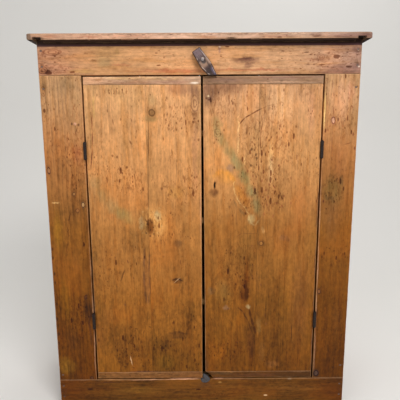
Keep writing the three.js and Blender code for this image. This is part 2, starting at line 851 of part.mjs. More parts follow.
// Keeper: an iron strap over the bolt's path, on the back of the left-hand door
function makeKeeper() {
  const right = meeting_x - meeting_gap_top / 2 - keeper_edge_inset;
  const base = door_back_y + seat_gap;
  const inner_back = bolt_y + bolt_thickness + keeper_play;
  const pocket_z0 = bolt_foot - keeper_play;
  const pocket_z1 = bolt_foot + bolt_height + keeper_play;
  const strap = [
    [base, pocket_z0 - keeper_flange],
    [base + keeper_strap, pocket_z0 - keeper_flange],
    [base + keeper_strap, pocket_z0 - keeper_strap],
    [inner_back + keeper_strap, pocket_z0 - keeper_strap],
    [inner_back + keeper_strap, pocket_z1 + keeper_strap],
    [base + keeper_strap, pocket_z1 + keeper_strap],
    [base + keeper_strap, pocket_z1 + keeper_flange],
    [base, pocket_z1 + keeper_flange],
    [base, pocket_z1],
    [inner_back, pocket_z1],
    [inner_back, pocket_z0],
    [base, pocket_z0],
  ];
  const keeper = sideSlab(shapeOf(strap), right - keeper_width, keeper_width, hardware_arris);
  place(door_left, "lock_keeper", keeper, worn_iron);
}

makeTop();
makeSide("side_left", -1);
makeSide("side_right", 1);
makeFaceFrame();
makeHousedBoards();
makeBack();
place(cupboard, "iron_stop", stopGeometry(0), worn_iron);
for (const nail of nails) place(cupboard, nail.name, nailGeometry(nail), iron);
makeButton();
makeButtonScrew();
makeLeftDoor();
makeRightDoor();
makeHinges();
makeLockPlate();
makeLockCase();
makeBolt();
makeLockScrews();
makeKeeper();

export default cupboard;
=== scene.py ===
import math
import random
from dataclasses import dataclass, field
from itertools import groupby

import bmesh
import bpy
from mathutils import Matrix, Vector, noise
from mathutils.kdtree import KDTree


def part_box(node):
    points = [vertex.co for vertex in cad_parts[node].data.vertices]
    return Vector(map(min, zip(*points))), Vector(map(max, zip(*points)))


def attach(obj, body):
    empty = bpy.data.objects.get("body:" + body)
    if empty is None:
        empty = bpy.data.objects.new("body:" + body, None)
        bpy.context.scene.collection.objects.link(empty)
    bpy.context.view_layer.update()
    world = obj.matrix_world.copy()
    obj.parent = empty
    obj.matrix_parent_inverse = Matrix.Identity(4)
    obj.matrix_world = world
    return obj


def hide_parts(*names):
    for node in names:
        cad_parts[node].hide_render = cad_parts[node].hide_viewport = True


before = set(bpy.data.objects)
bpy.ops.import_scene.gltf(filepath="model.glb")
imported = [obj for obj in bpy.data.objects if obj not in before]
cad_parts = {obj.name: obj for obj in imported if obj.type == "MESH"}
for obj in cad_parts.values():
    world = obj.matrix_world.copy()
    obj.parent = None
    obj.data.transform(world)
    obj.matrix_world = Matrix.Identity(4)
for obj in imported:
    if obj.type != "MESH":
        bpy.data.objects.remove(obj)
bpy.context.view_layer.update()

mm = 0.001
X, Y, Z = 0, 1, 2
left, right = Vector((-1, 0, 0)), Vector((1, 0, 0))
front, back = Vector((0, -1, 0)), Vector((0, 1, 0))
down, up = Vector((0, 0, -1)), Vector((0, 0, 1))


def node_middle(node):
    """The middle of a CAD node's box."""
    low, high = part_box(node)
    return (low + high) / 2


face_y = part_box("header_rail")[0].y
top_front_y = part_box("top_board")[0].y
overhang_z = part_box("top_board")[0].z
level_boards = ("bottom_board", "shelf_1", "shelf_2", "shelf_3")
shelf_levels = [node_middle(node).z for node in level_boards]


# Camera

picture_width = 400
lens = 36.0
sensor = 36.0
focal = lens / sensor * picture_width
camera_place = Vector((-6.3 * mm, -1468.4 * mm, 957 * mm))
camera_down = math.radians(9.51)
camera_yaw = math.radians(0.19)
camera_roll = math.radians(-0.36)


def camera_axes():
    """The camera's right, up and forward directions."""
    forward = Vector((
        math.sin(camera_yaw) * math.cos(camera_down),
        math.cos(camera_yaw) * math.cos(camera_down),
        -math.sin(camera_down),
    ))
    level = Vector((math.cos(camera_yaw), -math.sin(camera_yaw), 0))
    above = level.cross(forward)
    across = level * math.cos(camera_roll) + above * math.sin(camera_roll)
    return across, across.cross(forward), forward


camera_right, camera_up, camera_forward = camera_axes()


def make_camera():
    """The camera that took the photo, as its straight edges show it."""
    data = bpy.data.cameras.new("camera")
    data.lens = lens
    data.sensor_width = sensor
    camera = bpy.data.objects.new("camera", data)
    turned = Matrix((camera_right, camera_up, -camera_forward)).transposed().to_4x4()
    camera.matrix_world = Matrix.Translation(camera_place) @ turned
    bpy.context.scene.collection.objects.link(camera)
    bpy.context.scene.camera = camera


def on_face(pixel, y=face_y):
    """The place on an upright plane, the case's face unless told, that a pixel of the picture shows."""
    across, below = (part - picture_width / 2 for part in pixel)
    ray = camera_forward + camera_right * (across / focal) - camera_up * (below / focal)
    return camera_place + ray * (y - camera_place.y) / ray.y


# Shader graphs

class Socket:
    """A value in a graph. Sums, products and powers of it add Math nodes."""

    def __init__(self, graph, link):
        self.graph = graph
        self.link = link

    def beside(self, name):
        """Another output of the same node."""
        return Socket(self.graph, self.link.node.outputs[name])

    def math(self, operation, *values):
        return self.graph.node("ShaderNodeMath", {"operation": operation}, dict(enumerate(values)))

    def __add__(self, other):
        return self.math("ADD", self, other)

    def __sub__(self, other):
        return self.math("SUBTRACT", self, other)

    def __rsub__(self, other):
        return self.math("SUBTRACT", other, self)

    def __mul__(self, other):
        return self.math("MULTIPLY", self, other)

    __radd__ = __add__
    __rmul__ = __mul__


class Graph:
    """A tree of nodes. One method adds any node; the others are short names for common ones."""

    def __init__(self, tree):
        self.tree = tree
        self.tree.nodes.clear()

    def node(self, kind, settings=None, sockets=None, output=0):
        made = self.tree.nodes.new(kind)
        for name, value in (settings or {}).items():
            if name == "stops":
                self.set_stops(made.color_ramp.elements, value)
            else:
                setattr(made, name, value)
        for key, value in (sockets or {}).items():
            if isinstance(value, Socket):
                self.tree.links.new(value.link, made.inputs[key])
            else:
                made.inputs[key].default_value = value
        return Socket(self, made.outputs[output]) if made.outputs else made

    def set_stops(self, elements, stops):
        while len(elements) < len(stops):
            elements.new(1.0)
        for element, (place, colour) in zip(elements, stops):
            element.position = place
            element.color = colour

    def place(self):
        return self.node("ShaderNodeTexCoord", output="Object")

    def attribute(self, name):
        return self.node("ShaderNodeAttribute", {"attribute_name": name}, output="Fac")

    def mapped(self, place, location=(0, 0, 0), rotation=(0, 0, 0), scale=(1, 1, 1), kind="POINT"):
        sockets = {"Vector": place, "Location": location, "Rotation": rotation, "Scale": scale}
        return self.node("ShaderNodeMapping", {"vector_type": kind}, sockets)

    def noise(self, place, scale, detail=2.0, roughness=0.5, output="Fac"):
        sockets = {"Vector": place, "Scale": scale, "Detail": detail, "Roughness": roughness}
        return self.node("ShaderNodeTexNoise", None, sockets, output)

    def vector(self, operation, *values):
        return self.node("ShaderNodeVectorMath", {"operation": operation}, dict(enumerate(values)))

    def length(self, vector):
        return self.node("ShaderNodeVectorMath", {"operation": "LENGTH"}, {0: vector}, "Value")

    def dot(self, first, second):
        return self.node("ShaderNodeVectorMath", {"operation": "DOT_PRODUCT"}, {0: first, 1: second}, "Value")

    def scaled(self, vector, factor):
        return self.node("ShaderNodeVectorMath", {"operation": "SCALE"}, {0: vector, "Scale": factor})

    def smooth(self, value, low, high):
        """0 at low, 1 at high, and smooth between; low may be the larger."""
        settings = {"interpolation_type": "SMOOTHSTEP"}
        return self.node("ShaderNodeMapRange", settings, {"Value": value, "From Min": low, "From Max": high})

    def blend(self, factor, first, second, mode="MIX"):
        settings = {"data_type": "RGBA", "blend_type": mode}
        return self.node("ShaderNodeMix", settings, {0: factor, 6: first, 7: second}, 2)

    def axis(self, place, axis):
        return self.node("ShaderNodeSeparateXYZ", None, {0: place}, axis)

    def ramp(self, value, stops):
        return self.node("ShaderNodeValToRGB", {"stops": stops}, {0: value})


def shade(red, green, blue):
    """A colour as it looks on a screen, from 0 to 255, in the linear values that nodes take."""
    def linear(value):
        share = value / 255
        return share / 12.92 if share <= 0.04045 else ((share + 0.055) / 1.055) ** 2.4
    return (linear(red), linear(green), linear(blue), 1.0)


def surface(name, paint):
    """A material whose paint function returns the values of its shader's sockets."""
    material = bpy.data.materials.new(name)
    material.use_nodes = True
    graph = Graph(material.node_tree)
    shader = graph.node("ShaderNodeBsdfPrincipled", None, paint(graph))
    graph.node("ShaderNodeOutputMaterial", None, {"Surface": shader})
    return material


# Marks in the wood: what age has left, and painted shade, shadows, sheen and glints

mark_depth = 30 * mm
knot_bow = 0.75


@dataclass
class Mark:
    """An oval mark: its middle, half width and half length, lean from upright, tint and strength."""
    at: Vector
    half_width: float
    half_length: float
    tint: tuple
    strength: float = 0.6
    lean: float = 0.0
    softness: float = 0.6
    ragged: bool = True


@dataclass
class Knot:
    """An oval knot with one or more dark rings round its core."""
    at: Vector
    half_width: float
    half_length: float
    core: tuple
    rim: tuple
    strength: float = 0.9
    rings: float = 1.0


def spot(pixel, half_width, half_length, tint, strength=0.6, lean=0.0, y=face_y, **more):
    """A mark given by its pixel, its half sizes in millimetres and its lean in degrees to the right."""
    at = on_face(pixel, y)
    return Mark(at, half_width * mm, half_length * mm, tint, strength, math.radians(lean), **more)


def pits(pixels, half_width, half_length, tint, strength=0.65, lean=0.0):
    """Sharp small marks of one kind."""
    return [spot(pixel, half_width, half_length, tint, strength, lean, ragged=False) for pixel in pixels]


def trail(pixels, half_width, tint, strength=0.6, **more):
    """A line of marks from pixel to pixel."""
    marks = []
    for start, end in zip(pixels, pixels[1:]):
        low, high = on_face(start), on_face(end)
        run = high - low
        lean = math.atan2(run.x, run.z)
        half_length = run.length / 2 + half_width * mm / 2
        marks.append(Mark((low + high) / 2, half_width * mm, half_length, tint, strength, lean, **more))
    return marks


def line(pixels, half_width, tint, strength=0.6):
    """A trail with sharp edges, as a crack or a scratch has."""
    return trail(pixels, half_width, tint, strength, ragged=False)


def knot(pixel, half_width, half_length, core, rim, strength=0.9, rings=1.0):
    """A knot on the case's face, given by its pixel and its half sizes in mm."""
    return Knot(on_face(pixel), half_width * mm, half_length * mm, core, rim, strength, rings)


def oval_distance(graph, place, at, size, lean=0.0):
    """How far a place is from an oval's middle, in shares of its size."""
    if not lean:
        shares = Vector(1 / part for part in size)
        return graph.length(graph.vector("MULTIPLY_ADD", place, shares, -shares * at))
    across = Vector((math.cos(lean), 0, -math.sin(lean))) / size[X]
    along = Vector((math.sin(lean), 0, math.cos(lean))) / size[Z]
    x = graph.dot(place, across) - across.dot(at)
    z = graph.dot(place, along) - along.dot(at)
    squared = x * x + z * z
    return squared.math("SQRT", squared)


def mark_size(mark):
    """Half sizes of a mark, which goes some way into the wood."""
    return mark.half_width, mark_depth, mark.half_length


def kind_of(mark):
    """What marks that are laid together have in common."""
    return mark.tint, mark.strength, mark.softness, mark.ragged


def paint_marks(graph, colour, kind, marks, place, soak):
    """Lays marks of one kind on the colour together, so that they don't darken where they meet."""
    tint, strength, softness, _ = kind
    nearest = 2.0
    for mark in marks:
        away = oval_distance(graph, place, mark.at, mark_size(mark), mark.lean)
        nearest = away.math("MINIMUM", away, nearest)
    mask = graph.smooth(nearest, 1 + softness / 2, 1 - softness)
    return graph.blend(mask * soak * strength, colour, tint)


def paint_knot(graph, colour, knot, place):
    """A knot's soft halo, then its core, then its dark rings."""
    halo_strength, core_strength = 0.3 * knot.strength, 0.8 * knot.strength
    away = oval_distance(graph, place, knot.at, mark_size(knot))
    turns = (away * knot.rings + 0.2) * (2 * math.pi)
    ring = graph.smooth(turns.math("COSINE", turns), -0.1, 0.9) * graph.smooth(away, 1.2, 0.95)
    colour = graph.blend(graph.smooth(away, 2.2, 0.9) * halo_strength, colour, knot.rim)
    colour = graph.blend(graph.smooth(away, 1.15, 0.8) * core_strength, colour, knot.core)
    return graph.blend(ring * knot.strength, colour, knot.rim)


def grain_round_knots(graph, place, knots, grain):
    """Places for the grain that spread apart beside each knot, so that its lines bow round it."""
    sideways = [1.0, 0.0, 1.0]
    sideways[grain] = 0.0
    spread, spread_along = 3.5, 2.6
    for knot in knots:
        reach = [knot.half_width * spread, mark_depth * 4, knot.half_length * spread]
        reach[grain] *= spread_along
        near = graph.smooth(oval_distance(graph, place, knot.at, reach), 1, 0)
        apart = graph.vector("MULTIPLY", graph.vector("SUBTRACT", place, knot.at), sideways)
        place = graph.vector("SUBTRACT", place, graph.scaled(apart, near * knot_bow))
    return place


# Pine

@dataclass
class Wood:
    """How one board looks: its tones along an axis, how strong its grain is, and its marks."""
    grain: int
    seed: int
    tones: list
    tone_axis: int = Z
    light: float = 1.0
    figure: float = 0.14
    streaks: float = 0.65
    speckle: float = 1.0
    painted_shadow_above: float = math.inf
    marks: list = field(default_factory=list)
    knots: list = field(default_factory=list)
    scuffs: list = field(default_factory=list)
    wear_tint: tuple = field(default_factory=lambda: shade(222, 176, 132))
    wear: float = 0.5


# Tints that the wood's colour is multiplied by
resin = (0.97, 0.84, 0.62, 1.0)
blush = (1.04, 0.93, 0.82, 1.0)
greying = (0.88, 0.94, 0.86, 1.0)
fleck_tint = (0.36, 0.24, 0.18, 1.0)
scuff_tint = (0.55, 0.42, 0.34, 1.0)

# Colours of cut ends and of bare wood, of the dirt and painted shade under the top board, and of the painted
# shadow on the header
end_light, end_dark = shade(138, 108, 80), shade(62, 50, 42)
bare_light, bare_dark = shade(176, 138, 92), shade(116, 84, 52)
dirt_and_painted_shade_tint, shadow_tint, shadow_edge = shade(26, 14, 12), shade(30, 14, 12), shade(72, 44, 50)

# How strongly each part of the figure lightens and darkens the wood, and how light it is between them
noise_middle = 0.5
fibre_contrast = 0.7
band_contrast = 0.5
mottle_contrast = 0.95
cloud_contrast = 0.8
plain_light = 1.03

# Down the case the contrast grows by half, from the upper of these heights to the lower
calm_height, rough_height = 800 * mm, 200 * mm
added_contrast = 0.5

# How strongly flecks, the painted shadow on the header, the unfinished faces and the dirt and painted shade
# under the top board cover the colour below them
dash_strength, point_strength, scuff_strength = 0.95, 0.8, 0.6
painted_shadow_strength, end_strength, bare_strength, dirt_and_painted_shade_strength = 0.95, 0.85, 0.92, 0.92


def stretched(graph, place, wood, seed, stretch):
    """Places drawn out along the grain, and apart from those of the other boards."""
    scale = [1.0, 1.0, 1.0]
    scale[wood.grain] = 1 / stretch
    shift = wood.seed + seed
    return graph.mapped(place, (shift * 0.37, shift * 0.61, shift * 0.83), (0, 0, 0), scale)


def wood_noise(graph, place, wood, seed, stretch, scale, detail, roughness=0.5):
    """Noise that is drawn out along the grain."""
    return graph.noise(stretched(graph, place, wood, seed, stretch), scale, detail, roughness)


def tone_along(graph, place, tones, axis):
    """The board's own colour, which changes along an axis."""
    low, high = tones[0][0], tones[-1][0]
    stops = [((at - low) / (high - low), colour) for at, colour in tones]
    settings = {"interpolation_type": "LINEAR"}
    sockets = {"Value": graph.axis(place, axis), "From Min": low, "From Max": high}
    return graph.ramp(graph.node("ShaderNodeMapRange", settings, sockets), stops)


def growth_rings(graph, place, wood):
    """Rings about a pith behind the board, which leans so that they close in long arches."""
    chance = random.Random(wood.seed)
    pith = [chance.uniform(-0.1, 0.1), chance.uniform(0.01, 0.06), chance.uniform(-0.04, 0.04)]
    scale = [1.0, 1.0, 1.0]
    scale[wood.grain] = 1 / 8
    lean = chance.uniform(0.1, 0.2) * chance.choice((-1, 1))
    rotation = (lean, 0, 0) if wood.grain == Z else (0, 0, lean)
    settings = {"wave_type": "RINGS", "rings_direction": "XYZ"[wood.grain], "wave_profile": "SAW"}
    sockets = {"Vector": graph.mapped(place, pith, rotation, scale), "Scale": 24.0, "Distortion": 7.0}
    sockets |= {"Detail": 2.5, "Detail Scale": 1.4, "Detail Roughness": 0.6}
    rings = graph.node("ShaderNodeTexWave", settings, sockets, "Fac")
    showing = graph.smooth(wood_noise(graph, place, wood, seed=21, stretch=4, scale=9, detail=2), 0.38, 0.62)
    return graph.smooth(rings, 0.25, 1.0) * (showing * 0.8 + 0.2)


def speckles(graph, place, wood, seed, pitch, stretch, crowd, largest):
    """Dark dashes in the cells of a scattered grid, more of them and larger where they crowd."""
    sockets = {"Vector": stretched(graph, place, wood, seed, stretch), "Scale": 1 / (pitch * mm)}
    away = graph.node("ShaderNodeTexVoronoi", None, sockets, "Distance")
    chance = graph.node("ShaderNodeSeparateColor", None, {0: away.beside("Color")})
    size = graph.smooth(chance + crowd * 0.6, 0.85, 1.45) * largest
    return graph.smooth(size - away, 0, 0.07)


def marked_tone(graph, place, wood):
    """The board's tone with its stains, marks and knots, which lie under the grain."""
    soaking = wood_noise(graph, place, wood, seed=19, stretch=5, scale=120, detail=3, roughness=0.6)
    soak = graph.smooth(soaking, 0.7, 0.3) * 0.4 + 0.6
    jitter = graph.vector("SUBTRACT", graph.noise(place, 60, 3, 0.6, "Color"), (0.5, 0.5, 0.5))
    ragged = graph.vector("ADD", place, graph.scaled(jitter, 17 * mm))
    clean = graph.vector("ADD", place, graph.scaled(jitter, 4 * mm))
    uneven = graph.vector("ADD", place, graph.scaled(jitter, 7 * mm))
    colour = tone_along(graph, place, wood.tones, wood.tone_axis)
    for kind, marks in groupby(wood.marks, kind_of):
        is_ragged = kind[-1]
        around, soaked = (ragged, soak) if is_ragged else (clean, 1.0)
        colour = paint_marks(graph, colour, kind, marks, around, soaked)
    for each in wood.knots:
        colour = paint_knot(graph, colour, each, uneven)
    return colour


def crowding(graph, place, wood):
    """Where flecks and scuffs crowd: a little here and there, and fully in the board's scuffed areas."""
    drift = wood_noise(graph, place, wood, seed=13, stretch=1.5, scale=8, detail=2)
    crowd = graph.smooth(drift, 0.42, 0.62) * 0.5 + 0.1
    for area in wood.scuffs:
        away = oval_distance(graph, place, area.at, mark_size(area))
        crowd = crowd.math("MAXIMUM", crowd, graph.smooth(away, 1.3, 0.5))
    return crowd


def shadowed(graph, colour, place, painted_shadow_above):
    """A painted shadow under the top board's overhang, darkest close to it."""
    painted_shadow_share = graph.smooth(graph.axis(place, Z), painted_shadow_above - 1 * mm, painted_shadow_above + 1.5 * mm)
    deep = graph.smooth(graph.axis(place, Z), painted_shadow_above + 3 * mm, painted_shadow_above + 8 * mm)
    return graph.blend(painted_shadow_share * painted_shadow_strength, colour, graph.blend(deep, shadow_edge, shadow_tint))


def pine_colour(graph, place, flow, wood):
    """Marked wood under its fibres, streaks, rings and flecks; and the height of its face."""
    fibre = wood_noise(graph, flow, wood, seed=0, stretch=12, scale=230, detail=3, roughness=0.65)
    streak = wood_noise(graph, flow, wood, seed=3, stretch=9, scale=60, detail=4, roughness=0.62)
    band = wood_noise(graph, flow, wood, seed=7, stretch=4, scale=15, detail=3, roughness=0.55)
    mottle = wood_noise(graph, place, wood, seed=9, stretch=1.8, scale=110, detail=4, roughness=0.65)
    cloud = wood_noise(graph, place, wood, seed=11, stretch=1.6, scale=8, detail=3, roughness=0.6)
    rings = growth_rings(graph, flow, wood)

    light = (fibre - noise_middle) * fibre_contrast + (streak - noise_middle) * wood.streaks
    light = light + (band - noise_middle) * band_contrast + (mottle - noise_middle) * mottle_contrast
    contrast = graph.smooth(graph.axis(place, Z), calm_height, rough_height) * added_contrast + 1
    light = (light + (cloud - noise_middle) * cloud_contrast) * contrast
    light = (light + plain_light - rings * wood.figure) * wood.light
    colour = graph.scaled(marked_tone(graph, place, wood), light)
    tints = (
        (streak, 0.54, 0.36, 0.6, resin),
        (cloud, 0.5, 0.66, 0.6, blush),
        (cloud, 0.46, 0.3, 0.5, greying),
    )
    for source, none_at, full_at, strength, tint in tints:
        colour = graph.blend(graph.smooth(source, none_at, full_at) * strength, colour, tint, "MULTIPLY")

    crowd = crowding(graph, place, wood)
    dashes = speckles(graph, flow, wood, seed=15, pitch=14, stretch=3, crowd=crowd, largest=0.3)
    points = speckles(graph, place, wood, seed=17, pitch=8, stretch=1.8, crowd=crowd, largest=0.3)
    fleck = dashes.math("MAXIMUM", dashes * dash_strength, points * point_strength)
    colour = graph.blend(fleck * wood.speckle, colour, fleck_tint, "MULTIPLY")
    rubbing = wood_noise(graph, flow, wood, seed=23, stretch=2.4, scale=190, detail=3, roughness=0.62)
    scuff = graph.smooth(rubbing + crowd * 0.13, 0.63, 0.74)
    colour = graph.blend(scuff * wood.speckle * scuff_strength, colour, scuff_tint, "MULTIPLY")
    # The painted shadow of the top board's overhang on the header
    if wood.painted_shadow_above < math.inf:
        colour = shadowed(graph, colour, place, wood.painted_shadow_above)
    height = fibre * 0.4 + streak * 0.5 + mottle * 0.5 + cloud * 0.6 - rings * 0.25 - fleck * 1.4
    return colour, height, streak, fibre


def paint_pine(wood):
    """Old pine that is rubbed pale on its arrises and unfinished on its ends and inner faces."""
    def paint(graph):
        place = graph.place()
        flow = grain_round_knots(graph, place, wood.knots, wood.grain)
        colour, height, streak, fibre = pine_colour(graph, place, flow, wood)

        rub = graph.attribute("wear") + (graph.noise(place, 60, 3, 0.6) - noise_middle) * 1.1
        worn = graph.smooth(rub, 0.55, 0.95)
        worn_share = worn * wood.wear
        worn_tone = graph.blend(0.45, graph.scaled(colour, 1.35), wood.wear_tint)
        colour = graph.blend(worn_share, colour, worn_tone)
        end = graph.attribute("end_grain")
        end_tone = graph.blend(graph.noise(place, 130, 4, 0.7), end_dark, end_light)
        colour = graph.blend(end * end_strength, colour, end_tone)
        bare = graph.attribute("bare")
        bare_tone = graph.blend(graph.smooth(streak, 0.62, 0.32) * 0.35 + fibre * 0.4, bare_light, bare_dark)
        colour = graph.blend(bare * bare_strength, colour, graph.scaled(bare_tone, wood.light))
        # Downward faces, the underside of the top board, are darkened by dirt and painted shade
        grimy = graph.attribute("grimy")
        colour = graph.blend(grimy * dirt_and_painted_shade_strength, colour, dirt_and_painted_shade_tint)

        bump = graph.node("ShaderNodeBump", None, {"Strength": 0.4, "Distance": 0.6 * mm, "Height": height})
        return {
            "Base Color": colour,
            "Roughness": 0.46 + fibre * 0.2 + worn * 0.1 + bare * 0.25 + end * 0.2 + grimy * 0.2,
            "Specular IOR Level": 0.15,
            "Normal": bump,
        }
    return paint


# Iron and the button's wood

def paint_iron(dark, rust, seed, roughness, metal, shine=0.5):
    """Cast or forged iron, rusty in patches and rubbed bright on its edges."""
    rubbed_iron = shade(128, 120, 112)

    def paint(graph):
        place = graph.mapped(graph.place(), (seed, seed, seed))
        cast = graph.noise(place, 900, 4, 0.65)
        patch = graph.noise(place, 120, 4, 0.6)
        rusty = graph.smooth(patch, 0.48, 0.68)
        colour = graph.blend(cast, dark, graph.blend(0.5, dark, rust))
        colour = graph.blend(rusty * 0.7, colour, rust)
        rub = graph.smooth(graph.attribute("wear") + (patch - noise_middle) * 0.8, 0.5, 0.9)
        colour = graph.blend(rub * shine, colour, rubbed_iron)
        height = cast + patch * 1.5
        bump = graph.node("ShaderNodeBump", None, {"Strength": 0.5, "Distance": 0.25 * mm, "Height": height})
        return {
            "Base Color": colour,
            "Metallic": metal - rusty * (metal * 0.8),
            "Specular IOR Level": 0.25,
            "Roughness": roughness + rusty * 0.3 - rub * 0.15 + cast * 0.1,
            "Normal": bump,
        }
    return paint


def paint_button(tilt, middle):
    """Dark whittled wood, purple-grey above and tan at mid length, with dark sides deepened by painted shade,
    pale arrises, a painted bluish glint low down and painted shade under the screw.

    Heights along the button are measured from its pivot.
    """
    dark_wood, mid_wood = shade(50, 30, 26), shade(98, 70, 62)
    purple_grey, tan_wood = shade(118, 96, 100), shade(158, 122, 96)
    dark_stripe, painted_glint = shade(42, 24, 22), shade(92, 84, 112)
    painted_screw_shade, pale_arris, dark_side_with_painted_shade = shade(36, 20, 18), shade(204, 178, 162), shade(44, 24, 20)

    def paint(graph):
        local = graph.mapped(graph.place(), middle, (0, tilt, 0), (1, 1, 1), "TEXTURE")
        fibre = graph.noise(graph.mapped(local, (3.1, 1.7, 0.4), (0, 0, 0), (1, 1, 1 / 6)), 520, 3, 0.6)
        streak = graph.noise(graph.mapped(local, (1.3, 0.7, 2.4), (0, 0, 0), (1, 1, 1 / 4)), 130, 4, 0.6)
        along, across = graph.axis(local, Z), graph.axis(local, X)
        colour = graph.blend(graph.smooth(streak, 0.36, 0.66), dark_wood, mid_wood)
        upper = graph.smooth(along, 2 * mm, 20 * mm)
        colour = graph.blend(upper * graph.smooth(streak, 0.3, 0.6) * 0.7, colour, purple_grey)
        tan = graph.smooth(along, -27 * mm, -17 * mm) * graph.smooth(along, 2 * mm, -6 * mm)
        colour = graph.blend(tan * graph.smooth(streak, 0.3, 0.5) * 0.75, colour, tan_wood)
        lower = graph.smooth(along, -20 * mm, -32 * mm)
        stripes = graph.smooth(fibre, 0.42, 0.54)
        colour = graph.blend(lower * stripes * 0.85, colour, dark_stripe)
        # A painted bluish glint low on the button's right-hand side
        blue = graph.smooth(across, 3 * mm, 7 * mm) * graph.smooth(along, -30 * mm, -38 * mm)
        colour = graph.blend(blue * 0.6, colour, painted_glint)
        # Painted shade in the hollow under the screw head
        screw_shade_away = oval_distance(graph, local, Vector((0, 0, -5 * mm)), (8 * mm, 1, 9 * mm))
        colour = graph.blend(graph.smooth(screw_shade_away, 1.2, 0.7) * 0.9, colour, painted_screw_shade)
        outline = graph.attribute("wear") + (streak - noise_middle) * 0.5
        pale = graph.smooth(outline, 0.2, 0.4) * graph.smooth(outline, 0.75, 0.5)
        patches = graph.smooth(graph.noise(local, 70, 2, 0.5), 0.42, 0.6)
        rubbed = patches * graph.smooth(along, 23 * mm, 17 * mm)
        colour = graph.blend(pale * rubbed * 0.75, colour, pale_arris)
        # Painted shade on and near the sides, over the dark wood of the sides
        colour = graph.blend(graph.smooth(outline, 0.45, 0.75) * 0.9, colour, dark_side_with_painted_shade)
        height = fibre + streak * 1.5
        bump = graph.node("ShaderNodeBump", None, {"Strength": 0.6, "Distance": 0.5 * mm, "Height": height})
        return {"Base Color": colour, "Roughness": 0.3 + fibre * 0.2, "Coat Weight": 0.25, "Normal": bump}
    return paint


# Meshes

merge_distance = 0.01 * mm
arris_reach = 3.4 * mm
sharp_angle = math.radians(52)
row_insets = (2.6 * mm, 5.2 * mm)
door_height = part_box("door_right_cap_top")[1].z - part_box("door_right_cap_foot")[0].z
meeting_taper = 4 * mm / door_height


def merged_copy(node):
    """A node's mesh with its doubled vertices joined."""
    mesh = bmesh.new()
    mesh.from_mesh(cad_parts[node].data)
    bmesh.ops.remove_doubles(mesh, verts=mesh.verts, dist=merge_distance)
    return mesh


def slice_at(mesh, point, normal):
    """Cuts new edges where a plane crosses the mesh, and takes nothing away."""
    geometry = mesh.verts[:] + mesh.edges[:] + mesh.faces[:]
    bmesh.ops.bisect_plane(mesh, geom=geometry, plane_co=point, plane_no=normal, dist=merge_distance)


def arris_verts(mesh, flattest, thin):
    """The vertices on chamfered arrises: those of faces that slope between two of the board's sides."""
    found = set()
    for face in mesh.faces:
        spread = sorted(abs(part) for part in face.normal)
        slopes = spread[2] < flattest and spread[0] < 0.3 and abs(face.normal[thin]) > 0.3
        if slopes:
            found.update(face.verts)
    return found


@dataclass
class Dent:
    """A dent in an arris: where it is, how far it reaches and how deep it goes."""
    at: Vector
    reach: float
    depth: float


def wear_depth(place, seed, lumps, deepest, dents):
    """How deep an arris is worn at a place, by its own roughness or by a dent, whichever is deeper."""
    rough = noise.fractal(place * lumps + Vector((seed, seed, seed)), 0.7, 2.2, 4)
    depth = deepest * (0.3 + 0.7 * min(1.0, abs(rough) * 1.6))
    for dent in dents:
        share = (place - dent.at).length / dent.reach
        if share < 1:
            depth = max(depth, dent.depth * (1 - share * share))
    return depth


def close_seam(mesh, low, high, side, arris=2 * mm):
    """Brings the front arris on one side out to a sharp corner, where two boards are planed flush."""
    edge = high.x if side > 0 else low.x
    for vert in mesh.verts:
        on_front = abs(vert.co.y - low.y) < merge_distance
        if on_front and 0 < abs(vert.co.x - edge) < arris:
            vert.co.x = edge


def wear_arrises(mesh, board, seam_places):
    """Rubs the arrises down unevenly and returns how worn each vertex is, from 0 to 1."""
    mesh.normal_update()
    arrises = list(arris_verts(mesh, board.flattest, board.thin))
    tree = KDTree(len(arrises))
    for index, vert in enumerate(arrises):
        tree.insert(vert.co, index)
    tree.balance()
    steps = {}
    worn = {}
    for vert in mesh.verts:
        _, _, away = tree.find(vert.co)
        share = max(0.0, 1 - away / arris_reach)
        worn[vert] = share
        if any(abs(vert.co.x - place) < arris_reach for place in seam_places):
            worn[vert] = 0.0
        if share > 0:
            depth = wear_depth(vert.co, board.wood.seed, board.lumps, board.deepest * mm, board.dents)
            steps[vert] = vert.normal * (depth * share * share)
    for vert, step in steps.items():
        vert.co -= step
    return worn


def faces_towards(mesh, sides):
    """1 for each face that looks to one of the sides, and 0 for the others."""
    return [1.0 if any(face.normal.dot(side) > 0.8 for side in sides) else 0.0 for face in mesh.faces]


def to_object(name, mesh, worn, grain=None, bare_sides=(), dirt_and_painted_shade_sides=()):
    """A smooth-shaded object with the attributes that the materials read."""
    data = bpy.data.meshes.new(name)
    mesh.verts.index_update()
    mesh.normal_update()
    wear = [worn[vert] for vert in mesh.verts]
    ends = [1.0 if grain is not None and abs(face.normal[grain]) > 0.8 else 0.0 for face in mesh.faces]
    bare, grimy = faces_towards(mesh, bare_sides), faces_towards(mesh, dirt_and_painted_shade_sides)
    for face in mesh.faces:
        face.smooth = True
    mesh.to_mesh(data)
    mesh.free()
    attributes = {
        "wear": ("POINT", wear),
        "end_grain": ("FACE", ends),
        "bare": ("FACE", bare),
        "grimy": ("FACE", grimy),
    }
    for label, (domain, values) in attributes.items():
        data.attributes.new(label, "FLOAT", domain).data.foreach_set("value", values)
    data.set_sharp_from_angle(angle=sharp_angle)
    piece = bpy.data.objects.new(name, data)
    bpy.context.scene.collection.objects.link(piece)
    return piece


def finish_piece(piece, body, slot, material, *nodes):
    """Gives a piece its material and body, and hides the solids that it takes the place of. Its slot is not
    used.
    """
    if material is not None:
        piece.data.materials.clear()
        piece.data.materials.append(material)
    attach(piece, body)
    if nodes:
        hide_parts(*nodes)


# Boards

